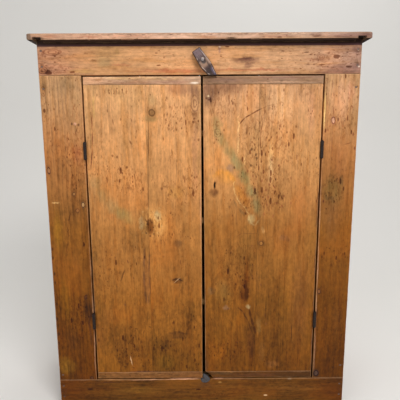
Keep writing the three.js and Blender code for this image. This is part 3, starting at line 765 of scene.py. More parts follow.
@dataclass
class Board:
    """A board and how it is dressed. Its wear and the step between its cuts are in millimetres."""
    node: str
    body: str
    slot: str
    wood: Wood
    thin: int = Y
    bare_sides: tuple = ()
    dirt_and_painted_shade_sides: tuple = ()
    seams: tuple = ()
    leaning: bool = False
    deepest: float = 0.8
    lumps: float = 38
    step: float = 14
    flattest: float = 0.9
    dents: tuple = ()


def slice_rows(mesh, board, low, high):
    """Rows of vertices beside the arrises, which carry their wear, and cross cuts along the grain."""
    for axis in (X, Y, Z):
        if high[axis] - low[axis] < 2.5 * row_insets[-1]:
            continue
        normal = Vector((0, 0, 0))
        normal[axis] = 1
        for inset in row_insets:
            near, far = low.copy(), high.copy()
            near[axis] += inset
            far[axis] -= inset
            slice_at(mesh, far, normal)
            if axis == X and board.leaning:
                near.z = high.z
                slice_at(mesh, near, Vector((1, 0, meeting_taper)))
            else:
                slice_at(mesh, near, normal)
    along = Vector((0, 0, 0))
    along[board.wood.grain] = 1
    chance = random.Random(board.wood.seed)
    place = low[board.wood.grain] + 2 * row_insets[-1]
    while place < high[board.wood.grain] - 2 * row_insets[-1]:
        slice_at(mesh, along * place, along)
        place += board.step * mm * chance.uniform(0.7, 1.3)


def make_board(board):
    """Dresses one board of the cupboard."""
    low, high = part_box(board.node)
    mesh = merged_copy(board.node)
    for side in board.seams:
        close_seam(mesh, low, high, side)
    slice_rows(mesh, board, low, high)
    if board.node == "header_rail":
        for inset in row_insets:
            slice_at(mesh, Vector((0, 0, overhang_z - inset)), up)
    worn = wear_arrises(mesh, board, [high.x if side > 0 else low.x for side in board.seams])
    name = f"{board.node}_wood"
    piece = to_object(name, mesh, worn, board.wood.grain, board.bare_sides, board.dirt_and_painted_shade_sides)
    material = surface(f"{board.node}_pine", paint_pine(board.wood))
    finish_piece(piece, board.body, board.slot, material, board.node)


# Tints that several marks share
olive, green_grey = shade(156, 130, 72), shade(150, 136, 92)
brown, dark_brown = shade(124, 74, 38), shade(66, 34, 16)
red_brown, purple = shade(138, 74, 44), shade(98, 62, 56)
cream, pink = shade(240, 206, 160), shade(200, 146, 116)
knot_core, knot_rim = shade(140, 92, 54), shade(84, 46, 26)

# Millimetres up the case and across it where the boards' tones are given
heights = (170, 400, 650, 900, 1085)
offsets = (-480, -300, 300, 480)


def tones(places, *colours):
    """A board's colours at places in millimetres along it."""
    return [(place * mm, shade(*colour)) for place, colour in zip(places, colours)]


# The door, stile and side tones grow darker towards the foot and the rail's are dark: mostly painted fall-off
# of the light from above, with painted sheen near the top, and partly the wood's own tone
left_tones = tones(heights, (130, 79, 20), (146, 91, 32), (172, 114, 56), (202, 143, 88), (211, 155, 104))
right_tones = tones(heights, (114, 66, 12), (132, 81, 24), (156, 101, 44), (195, 139, 85), (196, 144, 100))
stile_tones = tones(heights, (101, 54, 2), (114, 65, 10), (136, 84, 27), (169, 112, 62), (180, 135, 92))
header_tones = tones(offsets, (180, 130, 98), (196, 143, 95), (192, 144, 104), (166, 126, 104))
rail_tones = tones(offsets, (90, 46, 1), (106, 64, 16), (106, 64, 16), (90, 47, 2))
top_tones = tones(offsets, (176, 138, 114), (196, 152, 124), (200, 158, 134), (128, 100, 90))
side_tones = tones((0, 500, 1240), (110, 66, 28), (146, 92, 42), (190, 134, 80))
shelf_tones = tones((-480, 480), (176, 138, 92), (170, 132, 86))
back_tones = tones((0, 1231), (166, 128, 82), (172, 134, 88))


def laid_in_order(named_marks):
    """The marks of a table of named marks, in the order in which they are laid on the wood."""
    in_order = []
    for marks in named_marks.values():
        in_order += marks if isinstance(marks, list) else [marks]
    return in_order


def reaches(mark, node):
    """Whether a mark shows on a board."""
    low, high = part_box(node)
    reach = 1.4 * max(mark.half_width, mark.half_length)
    return all(low[axis] - reach < mark.at[axis] < high[axis] + reach for axis in (X, Z))


def left_door_stains():
    """Broad stains on the left-hand door, which are laid first."""
    green_band = [(93, 176), (98, 189), (106, 201), (116, 210), (128, 218)]
    return laid_in_order({
        "green band": trail(green_band, 21, green_grey, 0.42, softness=0.9),
        "olive end of the band": spot((124, 215), 38, 20, olive, 0.55, 40, softness=0.8),
        "warm spot under the band": spot((111, 217), 16, 12, shade(204, 128, 66), 0.45, softness=0.8),
        "pale hinge edge": spot((94, 106), 3, 36, shade(214, 170, 90), 0.6, softness=0.7),
        "pale upper corner": spot((112, 98), 56, 46, shade(232, 172, 114), 0.5, softness=0.9),
        "dark top": spot((180, 88), 46, 24, shade(132, 86, 64), 0.65),
        "dark upper corner": spot((195, 93), 20, 34, shade(116, 76, 62), 0.7),
        "dark meeting edge": spot((195, 148), 11, 170, shade(152, 100, 76), 0.4, softness=0.8),
        "green above the knot": spot((152, 100), 18, 20, green_grey, 0.4, softness=0.8),
        "green below the knot": spot((150, 119), 24, 9, green_grey, 0.5, softness=0.8),
        "glow round the burst": spot((152, 222), 44, 46, shade(212, 158, 88), 0.55, softness=0.9),
        "pale left of the burst": spot((141, 223), 9, 24, shade(200, 164, 112), 0.75),
        "green right of the burst": spot((157.4, 216), 12, 20, shade(184, 162, 116), 0.8),
        "halo": spot((157, 226), 26, 44, shade(208, 156, 92), 0.55, softness=0.9),
        "burst": spot((150.4, 227), 15, 28, shade(116, 66, 20), 0.95, softness=0.5, ragged=False),
        "pale right of the burst": spot((161, 229), 7, 24, shade(206, 152, 88), 0.6),
        "smudge right of the joint": spot((178, 243.5), 16, 14, shade(104, 68, 38), 0.8),
        "yellow cloud": spot((176, 192), 30, 22, shade(178, 128, 56), 0.35),
        "dark round the scratch": spot((177, 280.6), 20, 12, shade(84, 46, 18), 0.7),
        "shade round the long loop": spot((146.4, 280), 14, 90, shade(114, 74, 46), 0.45, softness=0.8),
        "dark right foot": spot((178, 335), 36, 14, dark_brown, 0.5),
        "dark middle foot": spot((167, 344), 20, 24, dark_brown, 0.35),
        "olive foot": spot((166, 362), 34, 30, shade(128, 88, 24), 0.55),
        "shade of the scuffs": spot((122, 345), 30, 70, dark_brown, 0.12, softness=0.8),
        "dark hinge edge": spot((100, 334), 26, 60, shade(110, 62, 24), 0.45, softness=0.9),
        "wide shade of the scuffs": spot((130, 350), 56, 60, dark_brown, 0.1),
        "brown cloud": spot((108, 316), 26, 36, shade(152, 98, 44), 0.3),
        "pink foot": spot((110, 375), 60, 5, pink, 0.4),
    })


def left_door_lines():
    """Cracks, scratches and edge lines of the left-hand door."""
    long_loop_left = [(144.6, 246), (144, 270), (144.6, 290), (147.4, 303)]
    long_loop_right = [(149.4, 250), (149, 276), (150.4, 290), (148.4, 304)]
    return laid_in_order({
        "crack by the hinge": line([(91, 113), (92.3, 131), (92.7, 147), (90.7, 169)], 2, red_brown, 0.85),
        "slanting scratch": line([(124.9, 269.5), (120.6, 281.7)], 2.4, dark_brown, 0.7),
        "joint under the knot": line([(148.3, 122), (148.2, 166)], 2, shade(100, 58, 26), 0.85),
        "pale edge": line([(200, 112), (200.4, 180), (200.8, 250)], 1.5, shade(206, 156, 128), 0.45),
        "joint above the burst": line([(148.2, 166), (148.6, 210)], 1.5, shade(120, 74, 34), 0.7),
        "long loop, left": line(long_loop_left, 4, shade(110, 70, 42), 0.7),
        "long loop, right": line(long_loop_right, 2.6, shade(104, 66, 40), 0.7),
        "gouge": line([(172.5, 280.5), (177, 278.5), (183, 281)], 3, dark_brown, 0.8),
        "bright line in the gouge": line([(174, 283), (180, 277.6)], 1.3, cream, 0.5),
        "bright scratch at the foot": line([(130, 356), (132.4, 365)], 1.8, cream, 0.5),
        "purple line at the foot": line([(131, 371.4), (158, 371.2)], 1.8, purple, 0.7),
    })


def left_door_pits():
    """Small marks of the left-hand door."""
    tool_marks = [
        (105, 92), (108.4, 91), (111.2, 92.4), (114, 91), (116.4, 92), (119.4, 92), (122.6, 91),
        (126.4, 90.6),
    ]
    small = [
        (97, 95), (107.3, 111), (139, 100.5), (131.4, 120.3), (120.4, 119.5), (136.6, 131.3),
        (135.8, 137.3), (164, 115.5), (167.4, 114), (178, 118.7), (181.6, 118), (184.4, 113),
        (176.5, 129.8), (163.4, 139),
    ]
    long = [
        (129.5, 187), (134.6, 176.5), (120, 169), (112.9, 122.2), (107, 180), (172, 152), (184, 178),
        (180.5, 262),
    ]
    bold = [
        (112.5, 155.8), (117.2, 157), (127, 167.3), (125.2, 304.8), (162, 188.6), (193, 122),
        (198.4, 139.6),
    ]
    faint = [
        (166.6, 98), (170.8, 212.5), (163.4, 256.4), (106, 251.4), (111.6, 255), (115, 257.5),
        (133.4, 278),
    ]
    across = [(130.6, 142.4), (127.6, 261.5), (171.8, 191.4)]
    scuffs = [
        (118, 343), (125, 352), (119, 359), (141, 342), (138, 350), (133, 357), (128, 364), (122, 366),
        (131, 336), (113, 336), (146, 356), (112, 352), (135, 331), (126, 340), (150, 340), (144, 332),
    ]
    smears = [
        (131, 327), (136, 328.6), (150, 327), (125, 366.6), (134, 367.6), (143, 366), (119, 362),
        (130, 361),
    ]
    burst = [(147, 224), (152, 222.5), (150.5, 230), (154, 234), (146.4, 233), (150, 236), (153.4, 227.4)]
    halo = [
        (156, 214), (160, 219.6), (141, 226), (157.5, 233), (153, 212), (139, 219), (143, 212),
        (162, 226), (159, 208), (148, 208.6), (142.6, 233),
    ]
    return laid_in_order({
        "tool marks": pits(tool_marks, 1.5, 9, brown, 0.55),
        "small": pits(small, 2.2, 5, brown, 0.6),
        "long": pits(long, 2.4, 10, brown, 0.7, -6),
        "bold": pits(bold, 3.8, 4.6, brown, 0.8),
        "faint": pits(faint, 3, 4.5, brown, 0.6),
        "across the grain": pits(across, 8, 2.8, brown, 0.85, 66),
        "lone": pits([(168.4, 195)], 2, 6, brown, 0.7),
        "scuffs": pits(scuffs, 2.4, 7, dark_brown, 0.5, 14),
        "sweep at the foot": trail([(169, 333.5), (178, 331.5), (188, 334)], 5, shade(84, 48, 18), 0.75),
        "line under the sweep": trail([(171, 338), (182, 337.5)], 4, shade(84, 48, 18), 0.6),
        "smears": pits(smears, 5, 2.4, dark_brown, 0.65, 20),
        "burst": pits(burst, 3.2, 3.6, dark_brown, 0.7),
        "halo": pits(halo, 3.4, 3.6, shade(214, 186, 130), 0.2),
    })


def left_door_marks():
    """Everything that age has left on the left-hand door, in the order in which it is laid."""
    return left_door_stains() + left_door_lines() + left_door_pits()


def scuffed(named_areas):
    """Areas where flecks and scuffs crowd, each from its middle pixel, half width and half length."""
    return [spot(*area, brown) for area in named_areas.values()]


def left_door_scuffs():
    """Where the left-hand door is scuffed."""
    return scuffed({
        "below the knot": ((180, 118), 70, 60),
        "above the band": ((128, 180), 60, 60),
        "meeting edge": ((190, 185), 40, 70),
        "left foot": ((128, 350), 70, 70),
        "right foot": ((165, 345), 60, 40),
        "burst": ((150, 222), 46, 46),
        "tool marks": ((116, 92), 50, 14),
    })


def left_door_knots():
    """Knots in the left-hand door's boards."""
    return laid_in_order({
        "under the cap": knot((151.6, 112.7), 11, 12, shade(138, 98, 58), shade(116, 78, 44), 0.85),
        "upper corner": knot((194.8, 103.5), 13, 27, shade(208, 154, 106), shade(144, 96, 66), 0.7, 2),
    })


def right_door_stains():
    """Broad stains on the right-hand door, with painted sheen at its top and painted shade in its keyhole,
    which are laid first.
    """
    band = [
        (216, 118), (218.6, 134), (226, 147), (234, 157), (241, 169.6), (248, 185), (255, 198),
        (258.6, 213),
    ]
    upper_band, lower_band = band[:4], band[3:]
    orange_edge = [(213, 177), (220, 171), (229, 174), (235, 181)]
    return laid_in_order({
        "green band, upper": trail(upper_band, 16, shade(142, 122, 74), 0.75, softness=0.7),
        "green band, lower": trail(lower_band, 17, shade(134, 122, 78), 0.95, softness=0.7),
        "orange edge": trail(orange_edge, 9, shade(206, 138, 50), 0.6, softness=0.8),
        "orange cloud": spot((226, 177), 30, 22, shade(198, 130, 48), 0.65, 30, softness=0.9),
        "orange grain": spot((242, 196), 13, 50, shade(180, 114, 42), 0.75, -33, softness=0.5),
        "pale end of the band": spot((252, 219), 12, 18, shade(186, 160, 108), 0.75),
        "grey spot": spot((230, 168), 12, 14, shade(140, 108, 84), 0.85),
        "dark corner under the button": spot((209, 92), 30, 44, shade(112, 78, 62), 0.9, softness=0.7),
        "dark top": spot((226, 87), 62, 26, shade(120, 78, 54), 0.8),
        "dark line at the top": spot((240, 84), 70, 5, shade(120, 78, 50), 0.5),
        "stain round the keyhole": spot((214.5, 192.5), 17, 15, shade(100, 58, 28), 0.9),
        # The keyhole is painted near black: painted shade in the hole
        "keyhole": spot((214.7, 185.4), 3.6, 13, shade(24, 10, 6), 0.95, ragged=False),
        "dark meeting edge": spot((203.6, 150), 5, 150, shade(160, 112, 76), 0.4, softness=0.8),
        "brown middle": spot((262, 200), 50, 50, shade(168, 108, 58), 0.22, softness=0.9),
        "olive cloud": spot((222, 290), 26, 40, olive, 0.3, softness=0.8),
        "grey cloud": spot((226, 308), 10, 9, shade(140, 110, 88), 0.55),
        "grey at the edge": spot((211, 291), 14, 14, shade(118, 90, 60), 0.5),
        "orange foot": spot((218, 346), 40, 66, shade(150, 92, 20), 0.5),
        "dark foot at the edge": spot((206, 366), 10, 30, shade(90, 62, 40), 0.5),
        "pale streak": spot((270.7, 162), 9, 62, shade(236, 190, 132), 0.8, softness=0.8),
        # Paler wood at the upper right with painted sheen over it
        "pale top with painted sheen": spot((280, 104), 40, 60, shade(236, 188, 138), 0.35, softness=0.9),
        "brown hinge edge, upper": spot((312, 110), 12, 90, shade(190, 132, 98), 0.45, softness=0.8),
        "grey smudge": spot((284, 238), 16, 12, shade(120, 88, 62), 0.55),
        "brown hinge edge, middle": spot((302, 205), 40, 100, shade(158, 96, 48), 0.45, softness=0.9),
        "brown cloud": spot((286, 234), 60, 60, shade(136, 82, 40), 0.35, softness=0.9),
        "brown hinge edge, lower": spot((300, 300), 34, 170, shade(104, 64, 34), 0.45, softness=0.8),
        "pale above the small knot": spot((263, 229.8), 6, 12, shade(196, 144, 86), 0.65),
        "pale foot": spot((272, 364), 24, 14, shade(160, 104, 54), 0.5),
        "brown foot": spot((262, 352), 10, 40, shade(132, 88, 40), 0.4),
        "brown line at the top": spot((285, 84.5), 70, 4, shade(120, 78, 52), 0.5),
    })


def bottom_burl():
    """The dark sweep of grain low in the right-hand door, with its pale spot and orange flank."""
    left_edge = [(237.6, 307.4), (243, 312), (248, 321), (251.6, 331)]
    right_edge = [(249, 309), (251, 318), (253.4, 326), (256, 334)]
    return laid_in_order({
        "olive flank": spot((222, 297), 44, 34, shade(136, 92, 34), 0.5, softness=0.9),
        "orange flank": spot((228, 324), 36, 50, shade(160, 100, 28), 0.45, softness=0.9),
        "orange heart": spot((240, 320), 14, 36, shade(150, 88, 16), 0.6, 8, softness=0.8),
        "upper sweep": spot((246.8, 270), 9, 60, shade(124, 64, 8), 0.6, softness=0.8),
        "middle sweep": spot((246, 284), 14, 48, shade(98, 46, 0), 0.85, softness=0.8),
        "foot of the sweep": spot((244.4, 295), 21, 26, shade(86, 38, 0), 0.85, softness=0.7),
        "core of the sweep": spot((246.4, 292), 9, 36, shade(62, 26, 0), 0.8, softness=0.6),
        "lower sweep": spot((251, 340), 17, 62, shade(96, 52, 18), 0.75, softness=0.8),
        "core of the lower sweep": spot((252, 350), 10, 46, shade(76, 38, 12), 0.6, softness=0.7),
        "pale flank, lower": spot((258.6, 326), 9, 30, shade(150, 110, 56), 0.6, softness=0.7),
        "pale flank, upper": spot((257, 276), 10, 60, shade(160, 104, 46), 0.45, softness=0.8),
        "left edge": line(left_edge, 3, shade(84, 46, 14), 0.8),
        "right edge": line(right_edge, 5, shade(76, 36, 8), 0.8),
        "pale spot": spot((248.2, 307), 7, 9, shade(172, 146, 100), 0.85, -15),
    })


def right_door_lines():
    """Cracks, scratches and edge lines of the right-hand door."""
    long_scratch = [(239.2, 124.1), (245.1, 117.7), (251, 114.3), (261.8, 108.4)]
    pale_line = [(238.4, 114.3), (238.3, 135), (237.6, 154.6)]
    loop_foot = [(250.6, 222.5), (256, 226), (259, 220)]
    loop_edge = [(234.6, 181), (233.4, 187), (236.3, 196), (242.2, 206), (249, 214), (250.6, 222.5)]
    hinge_edge = [(318.1, 180), (315.8, 240), (313.9, 290), (312.3, 330), (310.8, 370)]
    return laid_in_order({
        "long scratch": line(long_scratch, 2.4, shade(100, 52, 24), 0.9),
        "end of the scratch": line([(261.8, 108.4), (267, 106), (274.6, 104.5)], 1.5, brown, 0.5),
        "pale line, upper": trail(pale_line, 2.6, shade(240, 192, 128), 0.75),
        "pale line, lower": trail([(245.1, 154.6), (244.6, 165)], 2.2, shade(236, 188, 124), 0.6),
        "pale edge of the loop": trail(loop_edge, 2.2, shade(216, 176, 112), 0.6),
        "foot of the loop": trail(loop_foot, 2.4, shade(200, 166, 112), 0.55),
        "dark flank of the loop": trail([(233, 199), (238, 208), (245, 215)], 4, shade(108, 80, 46), 0.6),
        "upright scratch": line([(236.3, 208), (236.5, 230)], 1.2, brown, 0.6),
        "level scratch": line([(237.4, 236.3), (241, 233.8), (256, 233.4)], 1.6, brown, 0.6),
        "short scratch": line([(228.2, 95), (229.6, 104)], 1.8, brown, 0.6),
        "crack above": line([(262.8, 120.2), (260.3, 137), (260.8, 150)], 2, shade(128, 76, 36), 0.8),
        "crack at the foot": line([(291.6, 323), (291.2, 342.6)], 1.6, dark_brown, 0.75),
        "dark hinge edge": trail(hinge_edge, 2.6, shade(84, 40, 24), 0.65),
    })


def right_door_pits():
    """Small marks of the right-hand door."""
    large = [(251.5, 149.2), (255.9, 154.6), (234.3, 167.5), (251, 165.4), (256.6, 158)]
    small = [
        (230.4, 200), (229.9, 206.6), (232.3, 215.5), (217, 122), (215, 132), (220.5, 134), (224, 130),
        (236.9, 342),
    ]
    dark = [
        (252, 246), (252.6, 265.6), (252, 276.4), (231, 252), (260.7, 285), (265, 315), (266, 324),
        (289, 240),
    ]
    many = [
        (248, 171), (253, 176), (259, 167), (264, 172), (262, 181), (254, 188), (267, 205), (282, 206),
        (291, 203), (247, 96), (238, 92), (253, 93), (286, 146), (297, 156), (277, 137), (291, 178),
        (264, 214), (273, 216),
    ]
    above = [
        (259.9, 122.7), (272.6, 148.2), (296.2, 126.6), (275.6, 179), (280, 195.4), (269.2, 210.1),
        (284, 90),
    ]
    red = [
        (269.2, 184.5), (274.6, 187), (276.6, 203.2), (279, 165.4), (268, 197), (284, 196), (272, 160),
        (266, 190),
    ]
    return laid_in_order({
        "large": pits(large, 3.8, 5.4, dark_brown, 0.75),
        "small": pits(small, 2.6, 4, brown, 0.75),
        "dark": pits(dark, 3.2, 5, brown, 0.7),
        "many": pits(many, 2.2, 5.4, red_brown, 0.75),
        "above": pits(above, 3, 5.4, brown, 0.8),
        "red": pits(red, 3, 4.8, red_brown, 0.8),
        "slanting dash": spot((247.1, 130), 5, 17, brown, 0.7, 6),
        "bright chip": spot((208.3, 96), 4, 3.5, cream, 0.8, ragged=False),
        "holes by the chip": pits([(208.8, 99.6), (206.6, 98.4)], 4, 3.5, knot_rim, 0.75),
    })


def right_door_marks():
    """Everything that age has left on the right-hand door, with its painted sheen and painted shade, in the
    order in which it is laid.
    """
    return right_door_stains() + bottom_burl() + right_door_lines() + right_door_pits()


def right_door_scuffs():
    """Where the right-hand door is scuffed."""
    return scuffed({
        "whole upper door": ((268, 150), 100, 190),
        "middle": ((268, 195), 90, 70),
        "upper corner": ((222, 105), 60, 60),
        "upper band": ((217, 132), 16, 44),
        "loop": ((246, 200), 30, 60),
        "above the burl": ((238, 270), 70, 110),
        "foot": ((225, 350), 80, 50),
    })


def right_door_knots():
    """Knots in the right-hand door's boards."""
    return laid_in_order({
        "in the upper band": knot((217.6, 133), 11, 14, shade(170, 142, 92), shade(110, 90, 56), 0.45, 2),
        "round": knot((260.9, 243.4), 9, 9, shade(172, 120, 62), shade(98, 58, 28), 0.85),
    })


def cap_marks():
    """Marks on the narrow boards at each door's top and foot."""
    return laid_in_order({
        "left top, knot": spot((98, 80), 11, 4, knot_core, 0.75),
        "left top, end of the knot": spot((110, 80.6), 8, 3, knot_core, 0.6),
        "left top, pale edge": spot((140, 78), 170, 3.2, shade(238, 196, 144), 0.6),
        "left top, brown edge": spot((150, 82.8), 160, 4.5, shade(156, 110, 86), 0.6),
        "left top, brown end": spot((175, 82), 40, 7, shade(140, 94, 72), 0.5),
        "left top, bright chip": spot((194.5, 83), 14, 3.6, shade(244, 222, 200), 0.95, ragged=False),
        "left foot, brown edge": spot((150, 374), 150, 2.4, shade(170, 120, 76), 0.5),
        "right top, dark end": spot((225, 80), 60, 10, shade(132, 98, 84), 0.5),
        "right top, pale edge": spot((285, 82), 100, 2.6, shade(200, 156, 124), 0.6),
        "right top, dark edge": spot((290, 77.4), 110, 3.4, shade(140, 100, 88), 0.6),
        "right foot, orange edge": spot((224, 371.8), 40, 2.4, shade(176, 116, 56), 0.75),
        "right foot, brown edge": spot((300, 371.2), 34, 2.2, shade(140, 98, 62), 0.6),
        "right foot, dark middle": spot((255, 374.6), 90, 7, shade(78, 46, 30), 0.55),
        "right foot, grey end": spot((222, 373), 40, 6, shade(92, 74, 50), 0.5),
    })


def cap_wood(node, seed):
    """A door's narrow board: pinkish at the top of the right-hand door, brown at the feet."""
    # The feet are darker partly by the painted fall-off of light towards the foot of the case
    if node.endswith("foot"):
        ends = ((134, 87, 43), (122, 77, 38)) if "left" in node else ((104, 62, 20), (72, 42, 14))
    else:
        ends = ((190, 145, 110), (184, 146, 118)) if "left" in node else ((134, 100, 74), (152, 120, 96))
    low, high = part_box(node)
    end_tones = [(low.x, shade(*ends[0])), (high.x, shade(*ends[1]))]
    return Wood(X, seed, end_tones, tone_axis=X, figure=0.1)


def plank_woods():
    """The wood of the four wide boards of the doors, by name."""
    sides = {
        "left": (left_door_marks(), left_door_knots(), left_door_scuffs()),
        "right": (right_door_marks(), right_door_knots(), right_door_scuffs()),
    }
    woods = {
        "left_board_outer": Wood(Z, seed=11, tones=left_tones),
        "left_board_inner": Wood(Z, seed=12, tones=left_tones),
        "right_board_inner": Wood(Z, seed=21, tones=right_tones),
        "right_board_outer": Wood(Z, seed=22, tones=right_tones),
    }
    for name, wood in woods.items():
        marks, knots, scuffs = sides[name.split("_")[0]]
        wood.marks = [mark for mark in marks if reaches(mark, f"door_{name}")]
        wood.knots = [each for each in knots if reaches(each, f"door_{name}")]
        wood.scuffs = scuffs
    return woods


def cap_woods():
    """The wood of the four narrow boards of the doors, by name."""
    woods = {}
    first_seed = 31
    caps = ("left_cap_top", "left_cap_foot", "right_cap_top", "right_cap_foot")
    for seed, name in enumerate(caps, first_seed):
        node = f"door_{name}"
        woods[name] = cap_wood(node, seed)
        woods[name].marks = [mark for mark in cap_marks() if reaches(mark, node)]
    return woods


def door_boards():
    """The eight boards of the doors, the wide ones first."""
    on_right, on_left = (1,), (-1,)
    seams = {
        "left_board_outer": on_right,
        "left_board_inner": on_left,
        "right_board_inner": on_right,
        "right_board_outer": on_left,
    }
    leaning = ("right_board_inner", "right_cap_top", "right_cap_foot")
    for name, wood in (plank_woods() | cap_woods()).items():
        dress = {"bare_sides": (back,), "seams": seams.get(name, ()), "leaning": name in leaning}
        yield Board(f"door_{name}", f"{name.split('_')[0]}_door", "door_pine", wood, **dress)


def header_wood():
    """The header rail: a dark knot, a red lower edge and a dark right end, under a painted shadow."""
    shadow_height = 13.5 * mm
    chip_and_nail_glints = [(219.8, 46.8), (358.5, 49.5), (359, 66.5)]
    wood = Wood(X, seed=41, tones=header_tones, tone_axis=X, figure=0.24)
    # A painted shadow on the header's top, under the top board's overhang
    wood.painted_shadow_above = overhang_z - shadow_height
    wood.marks = laid_in_order({
        "pink left end": spot((56, 69), 60, 14, shade(188, 126, 98), 0.4),
        "green cloud": spot((104, 62.5), 24, 16, shade(156, 128, 86), 0.65),
        "dark dash": spot((94, 60), 12, 4, brown, 0.7),
        "red streak": spot((121, 65), 34, 4, shade(188, 108, 72), 0.6),
        "brown lower edge": spot((150, 70), 120, 9, shade(168, 110, 70), 0.4),
        "red lower edge": spot((176, 71), 110, 7, shade(168, 92, 60), 0.65),
        "yellow lower edge": spot((82, 71), 50, 6, shade(184, 140, 74), 0.5),
        "tan spot": spot((117, 51), 8, 8, shade(156, 116, 68), 0.55),
        "purple drip": spot((219.8, 50), 5, 11, shade(126, 92, 88), 0.75),
        "dark knot, heart": spot((246, 60.2), 44, 11, shade(88, 50, 40), 0.95),
        "dark knot, foot": spot((248, 65.4), 14, 8, shade(108, 68, 54), 0.8),
        "red line": spot((250, 69.6), 130, 4, shade(176, 96, 66), 0.65),
        "dark dash, right": spot((306.5, 52.3), 9, 2, knot_rim, 0.8, ragged=False),
        "brown streak, right": spot((315, 60), 40, 4.5, shade(152, 96, 66), 0.55),
        "dark upper nail": spot((357, 50), 20, 10, shade(112, 80, 72), 0.8),
        "dark lower nail": spot((357, 66), 20, 10, shade(112, 80, 72), 0.8),
        "dark right end": spot((344, 69), 80, 16, shade(128, 88, 78), 0.6),
        "dark right edge": spot((340, 73), 90, 6, shade(104, 62, 52), 0.7),
        # The button's cast shadow, painted on the header
        "painted shadow of the button": spot((197, 69), 15, 26, shade(116, 76, 48), 0.6, 25),
        "pale upper edge, left": spot((80, 46.8), 150, 3, shade(228, 174, 116), 0.45),
        "pale upper edge, right": spot((270, 46.8), 220, 3, shade(226, 176, 124), 0.45),
        # The first is a bright chip; the other two are painted glints on the nail heads
        "bright chip and painted glints on the nails": pits(chip_and_nail_glints, 3.6, 2.8, shade(222, 198, 178), 0.85),
    })
    wood.knots = laid_in_order({
        "left end, upper": knot((52, 52.2), 30, 10, shade(178, 120, 80), shade(128, 72, 48), 0.6, 2),
        "left end, lower": knot((43, 70.5), 15, 11, shade(176, 120, 84), shade(118, 68, 48), 0.8, 2),
        "right": knot((321, 57), 12, 9, shade(168, 116, 82), shade(116, 76, 58), 0.5, 2),
    })
    wood.scuffs = scuffed({
        "right end": ((335, 60), 110, 40),
        "left end": ((45, 60), 60, 40),
        "left foot": ((60, 70), 90, 20),
    })
    return wood


def stile_left_wood():
    """The left stile: a row of knots, a torn upper end and nicks down its outer edge."""
    wood = Wood(Z, seed=42, tones=stile_tones, streaks=0.8, figure=0.26, light=1.03)
    tear_left, tear_right = [(75, 104), (73.6, 111), (72.3, 118)], [(77.6, 104), (77, 112), (76.5, 120)]
    dark_grain = [(70.7, 211), (68.1, 225), (67.5, 240), (66.5, 258)]
    holes = [(43.2, 88.5), (43.5, 94.5), (71.8, 124), (78.4, 125)]
    outer_edge = [
        (52.4, 249), (53, 258), (54.6, 274), (55.2, 283), (57, 304), (57.2, 319), (59, 334),
        (59.2, 343),
    ]
    inner_edge = [(90.4, 250), (92.2, 290), (94.2, 330), (95.4, 372)]
    wood.marks = laid_in_order({
        "green cloud": spot((66, 86), 34, 24, shade(156, 120, 84), 0.6, softness=0.8),
        "red cloud": spot((77, 154), 18, 32, shade(148, 86, 52), 0.65),
        "dark by the lower hinge": spot((88.4, 311), 16, 56, shade(36, 16, 6), 0.95),
        "dark under the hinge": spot((90.5, 330), 5, 60, shade(70, 36, 20), 0.6),
        "olive foot": spot((66, 366), 36, 34, shade(150, 104, 30), 0.6),
        "bright scratch": spot((55.7, 202.7), 14, 3.4, shade(228, 174, 110), 0.85),
        "brown cloud": spot((58, 142), 16, 14, shade(152, 92, 42), 0.5),
        "olive middle": spot((58, 230), 16, 70, shade(156, 106, 24), 0.6, softness=0.8),
        "olive below": spot((64, 300), 20, 80, shade(134, 86, 16), 0.6, softness=0.8),
        "orange inner side": spot((76, 262), 14, 40, shade(150, 92, 34), 0.4, softness=0.8),
        "dark foot": spot((73, 340), 22, 40, shade(84, 46, 18), 0.4, softness=0.8),
        "bright dash by the hinge": spot((85.5, 136), 3, 12, shade(224, 176, 128), 0.7, ragged=False),
        "tear, left": trail(tear_left, 2, shade(146, 86, 48), 0.75),
        "tear, right": trail(tear_right, 2, shade(146, 86, 48), 0.75),
        "short crack": line([(77, 128), (75, 136)], 1.9, shade(126, 70, 36), 0.8),
        "long crack": line([(68, 131), (66.8, 144)], 1.9, shade(136, 78, 38), 0.7),
        "dark grain": trail(dark_grain, 2.8, shade(88, 44, 12), 0.8),
        "holes": pits(holes, 3.4, 5, shade(92, 54, 34), 0.85),
        "pale hole": pits([(74.9, 124)], 5.5, 5.5, shade(210, 158, 126), 0.85),
        "nicks in the outer edge": pits(outer_edge, 3, 7, dark_brown, 0.85),
        "pale inner edge": line(inner_edge, 1.6, shade(206, 158, 126), 0.5),
    })
    wood.knots = laid_in_order({
        "outer edge": knot((48.8, 170.8), 6, 12, shade(172, 122, 80), shade(88, 46, 26), 0.95),
        "upper of three": knot((74.2, 194.3), 6.5, 8, shade(196, 142, 86), shade(100, 56, 26), 0.9),
        "bright of three": knot((83.3, 204.8), 6.5, 10, shade(222, 170, 112), shade(80, 40, 18), 0.95),
        "lower of three": knot((77.5, 211), 6.5, 7.5, shade(174, 114, 60), shade(100, 54, 24), 0.85),
        "upper corner": knot((43.3, 91.5), 8, 16, shade(180, 130, 84), shade(116, 74, 44), 0.7, 2),
        "foot": knot((92, 378), 7, 7, shade(80, 48, 30), shade(46, 24, 14), 0.8),
        "by the lower hinge": knot((86, 297), 5, 9, shade(90, 50, 26), shade(52, 26, 14), 0.8),
    })
    wood.scuffs = scuffed({"above": ((76, 160), 50, 120), "below": ((80, 320), 50, 90)})
    return wood


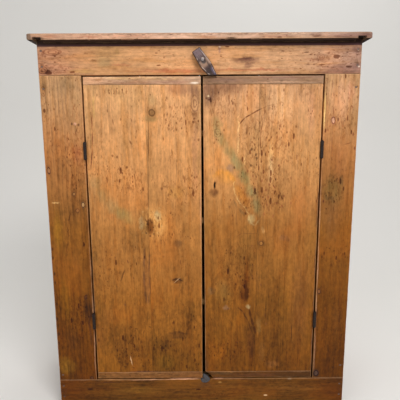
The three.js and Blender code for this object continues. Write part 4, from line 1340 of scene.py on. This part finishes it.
def stile_right_wood():
    """The right stile: a green cloud at mid height and a pale inner edge."""
    wood = Wood(Z, seed=43, tones=stile_tones, light=0.95)
    inner_edge = [(321.2, 180), (319, 240), (317, 290), (315.4, 330), (313.8, 372)]
    holes = [(353.2, 134.3), (354.6, 148.2), (338.3, 119.4), (323.4, 201.3)]
    dashes = [(349, 98), (352.6, 107), (343, 126), (328, 130), (330, 126)]
    wood.marks = laid_in_order({
        "green cloud": spot((333, 190), 32, 50, shade(118, 92, 44), 0.7, softness=0.8),
        "dark in the cloud": spot((341.6, 181), 6, 18, shade(84, 70, 40), 0.8),
        "foot of the cloud": spot((330, 198), 20, 8, shade(96, 72, 40), 0.6),
        "pale upper edge": spot((324.6, 110), 3, 60, shade(242, 202, 132), 0.9, softness=0.4, ragged=False),
        "pink top": spot((342, 98), 40, 70, shade(222, 162, 124), 0.5, softness=0.9),
        "red grain": spot((332.3, 144), 3, 46, shade(150, 92, 58), 0.55, softness=0.8),
        "pink outer edge": spot((351, 90), 12, 30, shade(206, 140, 112), 0.4, softness=0.8),
        "brown middle": spot((331, 216), 30, 80, shade(116, 80, 46), 0.55, softness=0.9),
        "orange above": spot((340, 160), 30, 70, shade(184, 116, 68), 0.4, softness=0.9),
        "dark foot": spot((336, 320), 14, 70, shade(108, 66, 26), 0.35, softness=0.8),
        "level scratch": line([(344, 144.6), (351.5, 142.6)], 1.8, shade(116, 64, 36), 0.7),
        "upright scratch": line([(333.7, 106), (333.5, 116)], 1.6, shade(136, 80, 56), 0.75),
        "pale inner edge": line(inner_edge, 1.6, shade(206, 158, 126), 0.5),
        "holes": pits(holes, 2.8, 6.5, shade(104, 50, 30), 0.85),
        "dashes": pits(dashes, 2.2, 4.5, red_brown, 0.7),
    })
    wood.knots = laid_in_order({
        "upper": knot((333.3, 120.5), 6.5, 12, shade(210, 162, 136), shade(118, 68, 46), 0.95),
        "inner edge": knot((319, 291.5), 6, 10, shade(146, 94, 54), shade(66, 32, 14), 0.95),
        "foot": knot((316, 373), 10, 13, shade(96, 72, 64), shade(34, 18, 14), 0.95),
    })
    wood.scuffs = scuffed({"middle": ((333, 190), 44, 60), "above": ((345, 120), 40, 60)})
    return wood


def rail_wood():
    """The bottom rail: dark, mostly by painted fall-off of light at the foot of the case, with an orange cast
    and a pale upper edge.
    """
    wood = Wood(X, seed=44, tones=rail_tones, tone_axis=X)
    wood.marks = laid_in_order({
        "bright nick": spot((220, 382.2), 7, 3.5, shade(168, 122, 60), 0.8, ragged=False),
        "grey nick": spot((289.5, 378.8), 8, 2.6, shade(150, 124, 96), 0.85, ragged=False),
        "dark crack": spot((110, 382.4), 56, 2.4, shade(62, 28, 22), 0.7),
        "orange left": spot((140, 390), 80, 12, shade(140, 92, 30), 0.6),
        "orange middle": spot((225, 386), 60, 8, shade(128, 82, 28), 0.5),
        "orange right": spot((296, 388), 90, 12, shade(132, 82, 28), 0.55),
        "dark streak": spot((180, 392), 40, 6, shade(80, 46, 16), 0.5),
        # Painted shade under the iron stop
        "painted shade under the stop": spot((205, 385), 26, 12, shade(60, 40, 30), 0.45, softness=0.8),
        "bright chip": spot((265.5, 395), 7, 3, cream, 0.6, ragged=False),
        "pale edge, middle": line([(128, 380.2), (165, 379.6), (199, 378.9)], 1.8, shade(196, 148, 120), 0.8),
        "pale edge, left": line([(104, 380), (128, 380.2)], 1.4, shade(180, 130, 84), 0.6),
        "pale edge by the stop": line([(213, 378.7), (224, 378.5)], 2.2, shade(190, 138, 112), 0.9),
        "brown edge by the stop": line([(224, 378.6), (242, 378.6)], 1.5, shade(134, 92, 62), 0.7),
    })
    return wood


def frame_boards():
    """The four boards of the face frame."""
    woods = {
        "header_rail": header_wood(),
        "stile_left": stile_left_wood(),
        "stile_right": stile_right_wood(),
        "bottom_rail": rail_wood(),
    }
    for node, wood in woods.items():
        yield Board(node, "case", "case_pine", wood, bare_sides=(back,))


def top_dent(pixel, reach, depth):
    """A dent at a pixel of the top board's front edge, its reach and depth in millimetres."""
    return Dent(on_face(pixel, top_front_y), reach * mm, depth * mm)


def top_spot(pixel, half_width, half_length, tint, strength):
    """A mark on the top board's front edge."""
    return spot(pixel, half_width, half_length, tint, strength, y=top_front_y)


def top_wood():
    """The top board: a grey left end, a dark right end and streaks along its front edge."""
    wood = Wood(X, seed=51, tones=top_tones, tone_axis=X, figure=0.2, speckle=0.9, wear=0.3)
    wood.wear_tint = shade(234, 192, 144)
    wood.marks = laid_in_order({
        "grey left end": top_spot((28, 37), 11, 18, shade(62, 56, 50), 0.95),
        "dark left corner": top_spot((37, 38.5), 20, 7, shade(84, 58, 50), 0.8),
        "dark right end": top_spot((366, 36), 22, 14, shade(96, 66, 56), 0.85),
        "brown right end": top_spot((345, 36), 40, 8, shade(132, 92, 78), 0.65),
        "dark dent": top_spot((231, 38.4), 16, 5, shade(74, 40, 28), 0.85),
        "dark dent, right": top_spot((316, 35), 18, 5, shade(96, 60, 48), 0.75),
        "red streak, left": top_spot((52, 36.5), 30, 5, shade(168, 112, 88), 0.5),
        "red streak": top_spot((90, 37), 40, 4, shade(164, 104, 78), 0.6),
        "pink streak": top_spot((130, 36), 60, 4, shade(214, 148, 116), 0.6),
        "pale middle": top_spot((195, 36), 140, 8, shade(222, 180, 154), 0.5),
        "red streak, middle": top_spot((206, 37), 30, 4, shade(166, 104, 76), 0.5),
        "red streak, right": top_spot((280, 36), 60, 4, shade(170, 110, 86), 0.6),
        # Painted shade along the upper arris of the front edge
        "painted shade on the upper arris": top_spot((200, 33.2), 520, 2.4, shade(98, 66, 50), 0.75),
    })
    return wood


def top_dents():
    """The dents along the top board's front edge."""
    dents = {
        "by the dark dent": top_dent((231, 39), 16, 3),
        "right, upper": top_dent((318, 32), 10, 3),
        "right, lower": top_dent((316, 35), 14, 2),
        "left": top_dent((130, 39), 12, 2),
    }
    return tuple(dents.values())


def case_boards():
    """The top board, the sides and the unfinished boards inside."""
    shape = {"deepest": 1.4, "lumps": 14, "flattest": 0.97, "step": 9, "dents": top_dents(), "thin": Z}
    # The top board's underside is darkened by dirt and painted shade
    yield Board("top_board", "case", "case_pine", top_wood(), dirt_and_painted_shade_sides=(down,), **shape)
    sides = {"side_left": (52, right), "side_right": (53, left)}
    for node, (seed, inner) in sides.items():
        wood = Wood(Z, seed, side_tones)
        yield Board(node, "case", "case_pine", wood, thin=X, bare_sides=(inner, back))
    yield from bare_boards()


def bare_boards():
    """The unfinished boards inside: the bottom board, the shelves and the back boards."""
    pale = {"speckle": 0.4, "wear": 0.3}
    every_side = (up, down, back, front)
    wide_step = 24
    first_level_seed, seed_before_backs = 61, 70
    for seed, node in enumerate(level_boards, first_level_seed):
        wood = Wood(X, seed, shelf_tones, tone_axis=X, **pale)
        yield Board(node, "case", "bare_pine", wood, thin=Z, bare_sides=every_side, step=wide_step)
    back_lights = (0.94, 1.08, 0.86, 1.02)
    for number, light in enumerate(back_lights, 1):
        node = f"back_board_{number}"
        wood = Wood(Z, seed_before_backs + number, back_tones, light=light, **pale)
        yield Board(node, "case", "bare_pine", wood, bare_sides=(back, front), step=wide_step)


# Ironwork: bevelled copies of the solids

def bevelled_copy(name, width, segments=2):
    """A copy of a node with its edges rounded and how worn each vertex is."""
    mesh = merged_copy(name)
    bmesh.ops.dissolve_limit(mesh, angle_limit=math.radians(1), verts=mesh.verts, edges=mesh.edges)
    paired = [edge for edge in mesh.edges if len(edge.link_faces) == 2]
    sharp = [edge for edge in paired if edge.calc_face_angle() > math.radians(35)]
    settings = {"offset_type": "OFFSET", "affect": "EDGES", "clamp_overlap": True, "profile": 0.5}
    bmesh.ops.bevel(mesh, geom=sharp, offset=width * mm, segments=segments, **settings)
    bmesh.ops.remove_doubles(mesh, verts=mesh.verts, dist=merge_distance)
    mesh.normal_update()
    worn = {vert: 1.0 if max(abs(part) for part in vert.normal) < 0.95 else 0.0 for vert in mesh.verts}
    return mesh, worn


def make_iron_piece(node, body, slot, material, width=0.3, segments=2):
    """An iron solid with its edges rounded by a width in millimetres."""
    mesh, worn = bevelled_copy(node, width, segments)
    finish_piece(to_object(f"{node}_iron", mesh, worn), body, slot, material, node)


def make_ironwork(black, worn_iron):
    """The hinges, the lock and the button's screw."""
    for door in ("left", "right"):
        for level in ("upper", "lower"):
            name = f"hinge_{door}_{level}"
            for part, body in (("frame_leaf", "case"), ("door_leaf", f"{door}_door"), ("pin", "case")):
                make_iron_piece(f"{name}_{part}", body, "hinge_iron", black)
    lock_parts = {
        "lock_plate": "right_door",
        "lock_case": "right_door",
        "lock_bolt": "bolt",
        "lock_keeper": "left_door",
    }
    for node, body in lock_parts.items():
        make_iron_piece(node, body, "worn_iron", worn_iron)
    bright, dull = shade(176, 166, 164), shade(110, 88, 78)
    steel = surface("screw_iron", paint_iron(bright, dull, seed=5, roughness=0.3, metal=0.85))
    make_iron_piece("turn_button_screw", "case", "worn_iron", steel, width=0.9, segments=3)


def carved_copy(node, name, voxel, rounds, roughness, scale):
    """A node remeshed finely, rounded over and roughened inwards, as a whittled or worn lump is."""
    rounded_away = 0.8 * mm
    mesh = merged_copy(node)
    data = bpy.data.meshes.new(name)
    mesh.to_mesh(data)
    mesh.free()
    blank = bpy.data.objects.new(name + "_blank", data)
    bpy.context.scene.collection.objects.link(blank)
    remesh = blank.modifiers.new("remesh", "REMESH")
    remesh.mode = "VOXEL"
    remesh.voxel_size = voxel * mm
    graph = bpy.context.evaluated_depsgraph_get()
    shape = bpy.data.meshes.new_from_object(blank.evaluated_get(graph))
    bpy.data.objects.remove(blank)
    mesh = bmesh.new()
    mesh.from_mesh(shape)
    before = {vert: vert.co.copy() for vert in mesh.verts}
    axes = {"use_axis_x": True, "use_axis_y": True, "use_axis_z": True}
    for _ in range(rounds):
        bmesh.ops.smooth_vert(mesh, verts=mesh.verts, factor=0.5, **axes)
    mesh.normal_update()
    worn = {}
    for vert in mesh.verts:
        worn[vert] = min(1.0, (vert.co - before[vert]).length / rounded_away)
        lump = noise.noise(vert.co * scale) * 0.5 + 0.5
        vert.co -= vert.normal * (lump * roughness * mm)
    return mesh, worn


def near_outline(mesh, reach):
    """How near each vertex is to the sides of a flat piece, from 0 at the reach to 1 on them."""
    sides = [vert.co for vert in mesh.verts if abs(vert.normal.y) < 0.5]
    tree = KDTree(len(sides))
    for index, place in enumerate(sides):
        tree.insert(place, index)
    tree.balance()
    return {vert: max(0.0, 1 - tree.find(vert.co)[2] / reach) for vert in mesh.verts}


def make_button():
    """The whittled turn button, painted about its pivot and along its own length."""
    name = "turn_button_wood"
    lean_at_rest = math.radians(-35)
    outline_width = 5.5 * mm
    mesh, _ = carved_copy("turn_button", name, voxel=0.9, rounds=4, roughness=1.0, scale=90)
    worn = near_outline(mesh, outline_width)
    material = surface("whittled_wood", paint_button(lean_at_rest, node_middle("turn_button_screw")))
    finish_piece(to_object(name, mesh, worn), "button", "dark_wood", material, "turn_button")


def make_stop():
    """The worn lump of grey iron on the bottom rail."""
    name = "iron_stop_lump"
    mesh, worn = carved_copy("iron_stop", name, voxel=0.8, rounds=4, roughness=0.7, scale=120)
    grey, brownish = shade(84, 84, 88), shade(66, 56, 50)
    iron = surface("stop_iron", paint_iron(grey, brownish, seed=2, roughness=0.6, metal=0.2, shine=0.25))
    finish_piece(to_object(name, mesh, worn), "case", "worn_iron", iron, "iron_stop")


# Nails and screws, made by Geometry Nodes

number, whole_number, material_kind = "NodeSocketFloat", "NodeSocketInt", "NodeSocketMaterial"


def node_group(name, inputs):
    """An empty Geometry Nodes tree with named inputs; returns its graph and its inputs' sockets."""
    tree = bpy.data.node_groups.new(name, "GeometryNodeTree")
    tree.interface.new_socket("Geometry", in_out="INPUT", socket_type="NodeSocketGeometry")
    for label, kind in inputs.items():
        tree.interface.new_socket(label, in_out="INPUT", socket_type=kind)
    tree.interface.new_socket("Geometry", in_out="OUTPUT", socket_type="NodeSocketGeometry")
    graph = Graph(tree)
    entry = tree.nodes.new("NodeGroupInput")
    return graph, {socket.name: Socket(graph, socket) for socket in entry.outputs if socket.name}


def moved(graph, geometry, offset):
    """Geometry shifted by an offset."""
    return graph.node("GeometryNodeTransform", None, {"Geometry": geometry, "Translation": offset})


def combined(graph, x=0.0, y=0.0, z=0.0):
    """A vector made from its parts."""
    return graph.node("ShaderNodeCombineXYZ", None, {0: x, 1: y, 2: z})


def joined(graph, *parts):
    """Parts taken together as one geometry."""
    join = graph.tree.nodes.new("GeometryNodeJoinGeometry")
    for part in parts:
        graph.tree.links.new(part.link, join.inputs[0])
    return Socket(graph, join.outputs[0])


def instanced(graph, points, shape, seed, spin, material):
    """The shape at each point, its top towards the point's facing, turned at random; ends the tree."""
    facing = graph.node("GeometryNodeInputNamedAttribute", {"data_type": "FLOAT_VECTOR"}, {"Name": "facing"})
    turn = graph.node("FunctionNodeAlignRotationToVector", {"axis": "Z"}, {"Vector": facing})
    sockets = {"Points": points, "Instance": shape, "Rotation": turn}
    placed = graph.node("GeometryNodeInstanceOnPoints", None, sockets)
    least, most = 2, 3
    sockets = {least: spin * -1.0, most: spin, "Seed": seed}
    chance = graph.node("FunctionNodeRandomValue", {"data_type": "FLOAT"}, sockets, 1)
    sockets = {"Instances": placed, "Rotation": combined(graph, z=chance), "Local Space": True}
    turned = graph.node("GeometryNodeRotateInstances", None, sockets)
    real = graph.node("GeometryNodeRealizeInstances", None, {"Geometry": turned})
    painted = graph.node("GeometryNodeSetMaterial", None, {"Geometry": real, "Material": material})
    graph.node("NodeGroupOutput", None, {"Geometry": painted})


def screw_tree():
    """Round-headed screws: a slotted head with its top at the point, and a shank below it."""
    labels = ["Head radius", "Head height", "Slot width", "Slot depth"]
    labels += ["Shank radius", "Shank length", "Spin"]
    inputs = {label: number for label in labels} | {"Seed": whole_number, "Material": material_kind}
    graph, sockets = node_group("slotted_screws", inputs)
    radius, height = sockets["Head radius"], sockets["Head height"]
    cylinder = {"Vertices": 20, "Radius": radius, "Depth": height}
    disc = graph.node("GeometryNodeMeshCylinder", None, cylinder)
    head = moved(graph, disc, combined(graph, z=height * -0.5))
    slot_size = combined(graph, radius * 3, sockets["Slot width"], sockets["Slot depth"] * 2)
    slot = graph.node("GeometryNodeMeshCube", None, {"Size": slot_size})
    cut = graph.node("GeometryNodeMeshBoolean", {"operation": "DIFFERENCE"}, {"Mesh 1": head, "Mesh 2": slot})
    rod = {"Vertices": 12, "Radius": sockets["Shank radius"], "Depth": sockets["Shank length"]}
    drop = (height + sockets["Shank length"] * 0.5) * -1.0
    shank = moved(graph, graph.node("GeometryNodeMeshCylinder", None, rod), combined(graph, z=drop))
    shape = joined(graph, cut, shank)
    instanced(graph, sockets["Geometry"], shape, sockets["Seed"], sockets["Spin"], sockets["Material"])
    return graph.tree


def nail_tree():
    """Cut nails: a hammered oblong head with its top at the point, and a tapered shank below it."""
    labels = ("Head length", "Head width", "Head height", "Shank width", "Shank length", "Spin")
    inputs = {label: number for label in labels} | {"Seed": whole_number, "Material": material_kind}
    graph, sockets = node_group("cut_nails", inputs)
    size = combined(graph, sockets["Head length"], sockets["Head width"], sockets["Head height"])
    cube = {"Size": size, "Vertices X": 4, "Vertices Y": 4, "Vertices Z": 2}
    block = graph.node("GeometryNodeMeshCube", None, cube)
    place = graph.node("GeometryNodeInputPosition")
    hammered = graph.noise(place, 260, 2, 0.5) * sockets["Head height"] * -0.45
    sunk = {"Geometry": block, "Offset": combined(graph, z=hammered)}
    shaped = graph.node("GeometryNodeSetPosition", None, sunk)
    head = moved(graph, shaped, combined(graph, z=sockets["Head height"] * -0.5))
    cone = {
        "Vertices": 4,
        "Radius Top": sockets["Shank width"] * 0.7,
        "Radius Bottom": sockets["Shank width"] * 0.3,
        "Depth": sockets["Shank length"],
    }
    drop = (sockets["Head height"] * 0.8 + sockets["Shank length"]) * -1.0
    shank = moved(graph, graph.node("GeometryNodeMeshCone", None, cone), combined(graph, z=drop))
    shape = joined(graph, head, shank)
    instanced(graph, sockets["Geometry"], shape, sockets["Seed"], sockets["Spin"], sockets["Material"])
    return graph.tree


def from_tree(name, tree, places, values):
    """Runs a tree on a cloud of points, each with its facing, and returns the plain mesh as an object."""
    cloud = bpy.data.meshes.new(name)
    cloud.from_pydata([place for place, _ in places], [], [])
    facing = [part for _, way in places for part in way]
    cloud.attributes.new("facing", "FLOAT_VECTOR", "POINT").data.foreach_set("vector", facing)
    holder = bpy.data.objects.new(name + "_places", cloud)
    bpy.context.scene.collection.objects.link(holder)
    modifier = holder.modifiers.new("nodes", "NODES")
    modifier.node_group = tree
    for item in tree.interface.items_tree:
        if item.in_out == "INPUT" and item.name in values:
            modifier[item.identifier] = values[item.name]
    graph = bpy.context.evaluated_depsgraph_get()
    data = bpy.data.meshes.new_from_object(holder.evaluated_get(graph))
    bpy.data.objects.remove(holder)
    data.name = name
    piece = bpy.data.objects.new(name, data)
    bpy.context.scene.collection.objects.link(piece)
    return piece


leaf_screw_rise = 17 * mm
leaf_screw_y = face_y + 11.3 * mm
leaf_running_gap = 0.25 * mm


def leaf_screw_places(door, leaf, facing):
    """Two screws in each of the door's upper and lower leaves, their heads towards the other leaf."""
    places = []
    for level in ("upper", "lower"):
        x = node_middle(f"hinge_{door}_{level}_pin").x - facing.x * leaf_running_gap
        middle = node_middle(f"hinge_{door}_{level}_{leaf}").z
        for rise in (-leaf_screw_rise, leaf_screw_rise):
            places.append((Vector((x, leaf_screw_y, middle + rise)), facing))
    return places


def face_nail_places(names):
    """The front of each nail that the solids show."""
    return [(Vector((node_middle(name).x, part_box(name)[0].y, node_middle(name).z)), front) for name in names]


def top_nail_places():
    """Nails through the top board, into the sides and into the header rail."""
    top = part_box("top_board")[1].z
    side_x = node_middle("side_right").x
    header_y = face_y + 11 * mm
    rows = [(x, y * mm) for x in (-side_x, side_x) for y in (-150, 0, 150)]
    rows += [(x * mm, header_y) for x in (-300, -100, 110, 310)]
    return [(Vector((x, y, top)), up) for x, y in rows]


def back_nail_places():
    """Two nails in each back board at every shelf and at the top."""
    places = []
    from_edge, from_top = 28 * mm, 12 * mm
    for number in range(1, 5):
        low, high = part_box(f"back_board_{number}")
        for z in shelf_levels + [high.z - from_top]:
            places += [(Vector((x, high.y, z)), back) for x in (low.x + from_edge, high.x - from_edge)]
    return places


def side_nail_places():
    """Three nails through each side into the end of every shelf."""
    places = []
    for way in (left, right):
        x = way.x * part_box("side_right")[1].x
        places += [(Vector((x, y * mm, z)), way) for z in shelf_levels for y in (-120, 20, 160)]
    return places


def make_nails():
    """The nails that the solids show, and those through the top, the back and the sides."""
    tree = nail_tree()
    iron = paint_iron(shade(124, 108, 100), shade(92, 62, 48), seed=3, roughness=0.5, metal=0.6)
    large = {
        "Head length": 6.5 * mm,
        "Head width": 4.5 * mm,
        "Head height": 1.8 * mm,
        "Shank width": 3.4 * mm,
        "Shank length": 46 * mm,
        "Spin": math.radians(7),
        "Seed": 8,
        "Material": surface("nail_iron", iron),
    }
    small = large | {"Head length": 5 * mm, "Head width": 4 * mm, "Shank length": 30 * mm}
    face_nails = [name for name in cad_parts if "_nail_" in name]
    piece = from_tree("face_nails", tree, face_nail_places(face_nails), large)
    finish_piece(piece, "case", "nail_iron", None, *face_nails)
    rows = {
        "top_nails": top_nail_places(),
        "back_nails": back_nail_places(),
        "side_nails": side_nail_places(),
    }
    for seed, (name, places) in enumerate(rows.items(), 9):
        finish_piece(from_tree(name, tree, places, small | {"Seed": seed}), "case", "nail_iron", None)


def lock_screw_places(names):
    """The back of each lock screw that the solids show."""
    return [(Vector((node_middle(name).x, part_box(name)[1].y, node_middle(name).z)), back) for name in names]


def keeper_screw_places():
    """Two screws in the keeper, one near each end."""
    low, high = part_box("lock_keeper")
    from_end, sunk = 5 * mm, 3 * mm
    x = (low.x + high.x) / 2
    return [(Vector((x, low.y + sunk, z)), back) for z in (low.z + from_end, high.z - from_end)]


def make_screws(black, worn_iron):
    """The screws of the hinges' leaves, of the lock and of its keeper."""
    tree = screw_tree()
    small = {
        "Head radius": 2.3 * mm,
        "Head height": 1.6 * mm,
        "Slot width": 0.7 * mm,
        "Slot depth": 0.8 * mm,
        "Shank radius": 1.4 * mm,
        "Shank length": 10 * mm,
        "Spin": math.pi,
        "Seed": 4,
        "Material": black,
    }
    for door, outward in (("left", left), ("right", right)):
        for leaf, body, facing in (("frame_leaf", "case", -outward), ("door_leaf", f"{door}_door", outward)):
            name = f"hinge_{door}_{leaf}_screws"
            piece = from_tree(name, tree, leaf_screw_places(door, leaf, facing), small)
            finish_piece(piece, body, "hinge_iron", None)

    names = sorted(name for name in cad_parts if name.startswith("lock_screw"))
    worn = small | {"Material": worn_iron}
    large = worn | {"Head radius": 3.2 * mm, "Head height": 1.4 * mm, "Shank length": 22 * mm}
    piece = from_tree("lock_screws", tree, lock_screw_places(names), large)
    finish_piece(piece, "right_door", "worn_iron", None, *names)
    piece = from_tree("keeper_screws", tree, keeper_screw_places(), worn)
    finish_piece(piece, "left_door", "worn_iron", None)


# Stage and light

def paint_paper(graph):
    """Pale matt paper with the faintest of clouds."""
    paper, cloudy = shade(236, 234, 230), shade(220, 218, 214)
    cloud = graph.noise(graph.place(), 3, 2) * 0.05
    return {"Base Color": graph.blend(cloud, paper, cloudy), "Roughness": 0.9}


def make_stage():
    """A sheet of pale paper that runs from the floor up the wall in a cove."""
    reach, cove, height, wall_y = 6.0, 1.2, 5.0, 2.2
    steps = 16
    profile = [(-reach, 0.0), (wall_y - cove, 0.0)]
    for step in range(1, steps + 1):
        angle = math.pi / 2 * step / steps
        profile.append((wall_y - cove + cove * math.sin(angle), cove - cove * math.cos(angle)))
    profile.append((wall_y, height))
    verts = [(x, y, z) for y, z in profile for x in (-reach, reach)]
    faces = [(2 * i, 2 * i + 1, 2 * i + 3, 2 * i + 2) for i in range(len(profile) - 1)]
    data = bpy.data.meshes.new("floor")
    data.from_pydata(verts, [], faces)
    data.polygons.foreach_set("use_smooth", [True] * len(data.polygons))
    data.materials.append(surface("paper", paint_paper))
    floor = bpy.data.objects.new("floor", data)
    bpy.context.scene.collection.objects.link(floor)


def area_light(name, place, target, width, height, power):
    """An oblong lamp that looks at a target."""
    data = bpy.data.lights.new(name, "AREA")
    data.shape = "RECTANGLE"
    data.size = width
    data.size_y = height
    data.energy = power
    lamp = bpy.data.objects.new(name, data)
    lamp.location = place
    lamp.rotation_euler = (Vector(target) - Vector(place)).to_track_quat("-Z", "Y").to_euler()
    bpy.context.scene.collection.objects.link(lamp)


def make_light():
    """A key lamp above on the right, a broad fill on the left, a lamp behind and an even sky."""
    area_light("key", place=(0.9, -2.3, 2.8), target=(0, -0.2, 0.7), width=1.3, height=0.9, power=60)
    area_light("fill", place=(-2.0, -2.6, 1.5), target=(0, -0.2, 0.6), width=2.0, height=2.0, power=16)
    area_light("back", place=(0.6, 2.0, 3.2), target=(0, 0.2, 0.9), width=2.0, height=1.0, power=20)
    world = bpy.data.worlds.new("studio")
    bpy.context.scene.world = world
    world.use_nodes = True
    graph = Graph(world.node_tree)
    sky = graph.node("ShaderNodeBackground", None, {"Color": (1, 1, 1, 1), "Strength": 0.5})
    graph.node("ShaderNodeOutputWorld", None, {"Surface": sky})
    bpy.context.scene.view_settings.view_transform = "Standard"


# The cupboard

make_camera()
for boards in (frame_boards(), door_boards(), case_boards()):
    for board in boards:
        make_board(board)
black_paint = paint_iron(shade(22, 17, 16), shade(44, 26, 20), seed=1, roughness=0.6, metal=0.05, shine=0.04)
worn_paint = paint_iron(shade(96, 92, 88), shade(104, 72, 50), seed=2, roughness=0.45, metal=0.75)
black_iron = surface("black_iron", black_paint)
worn_iron = surface("worn_iron", worn_paint)
make_ironwork(black_iron, worn_iron)
make_button()
make_stop()
make_nails()
make_screws(black_iron, worn_iron)
make_stage()
make_light()
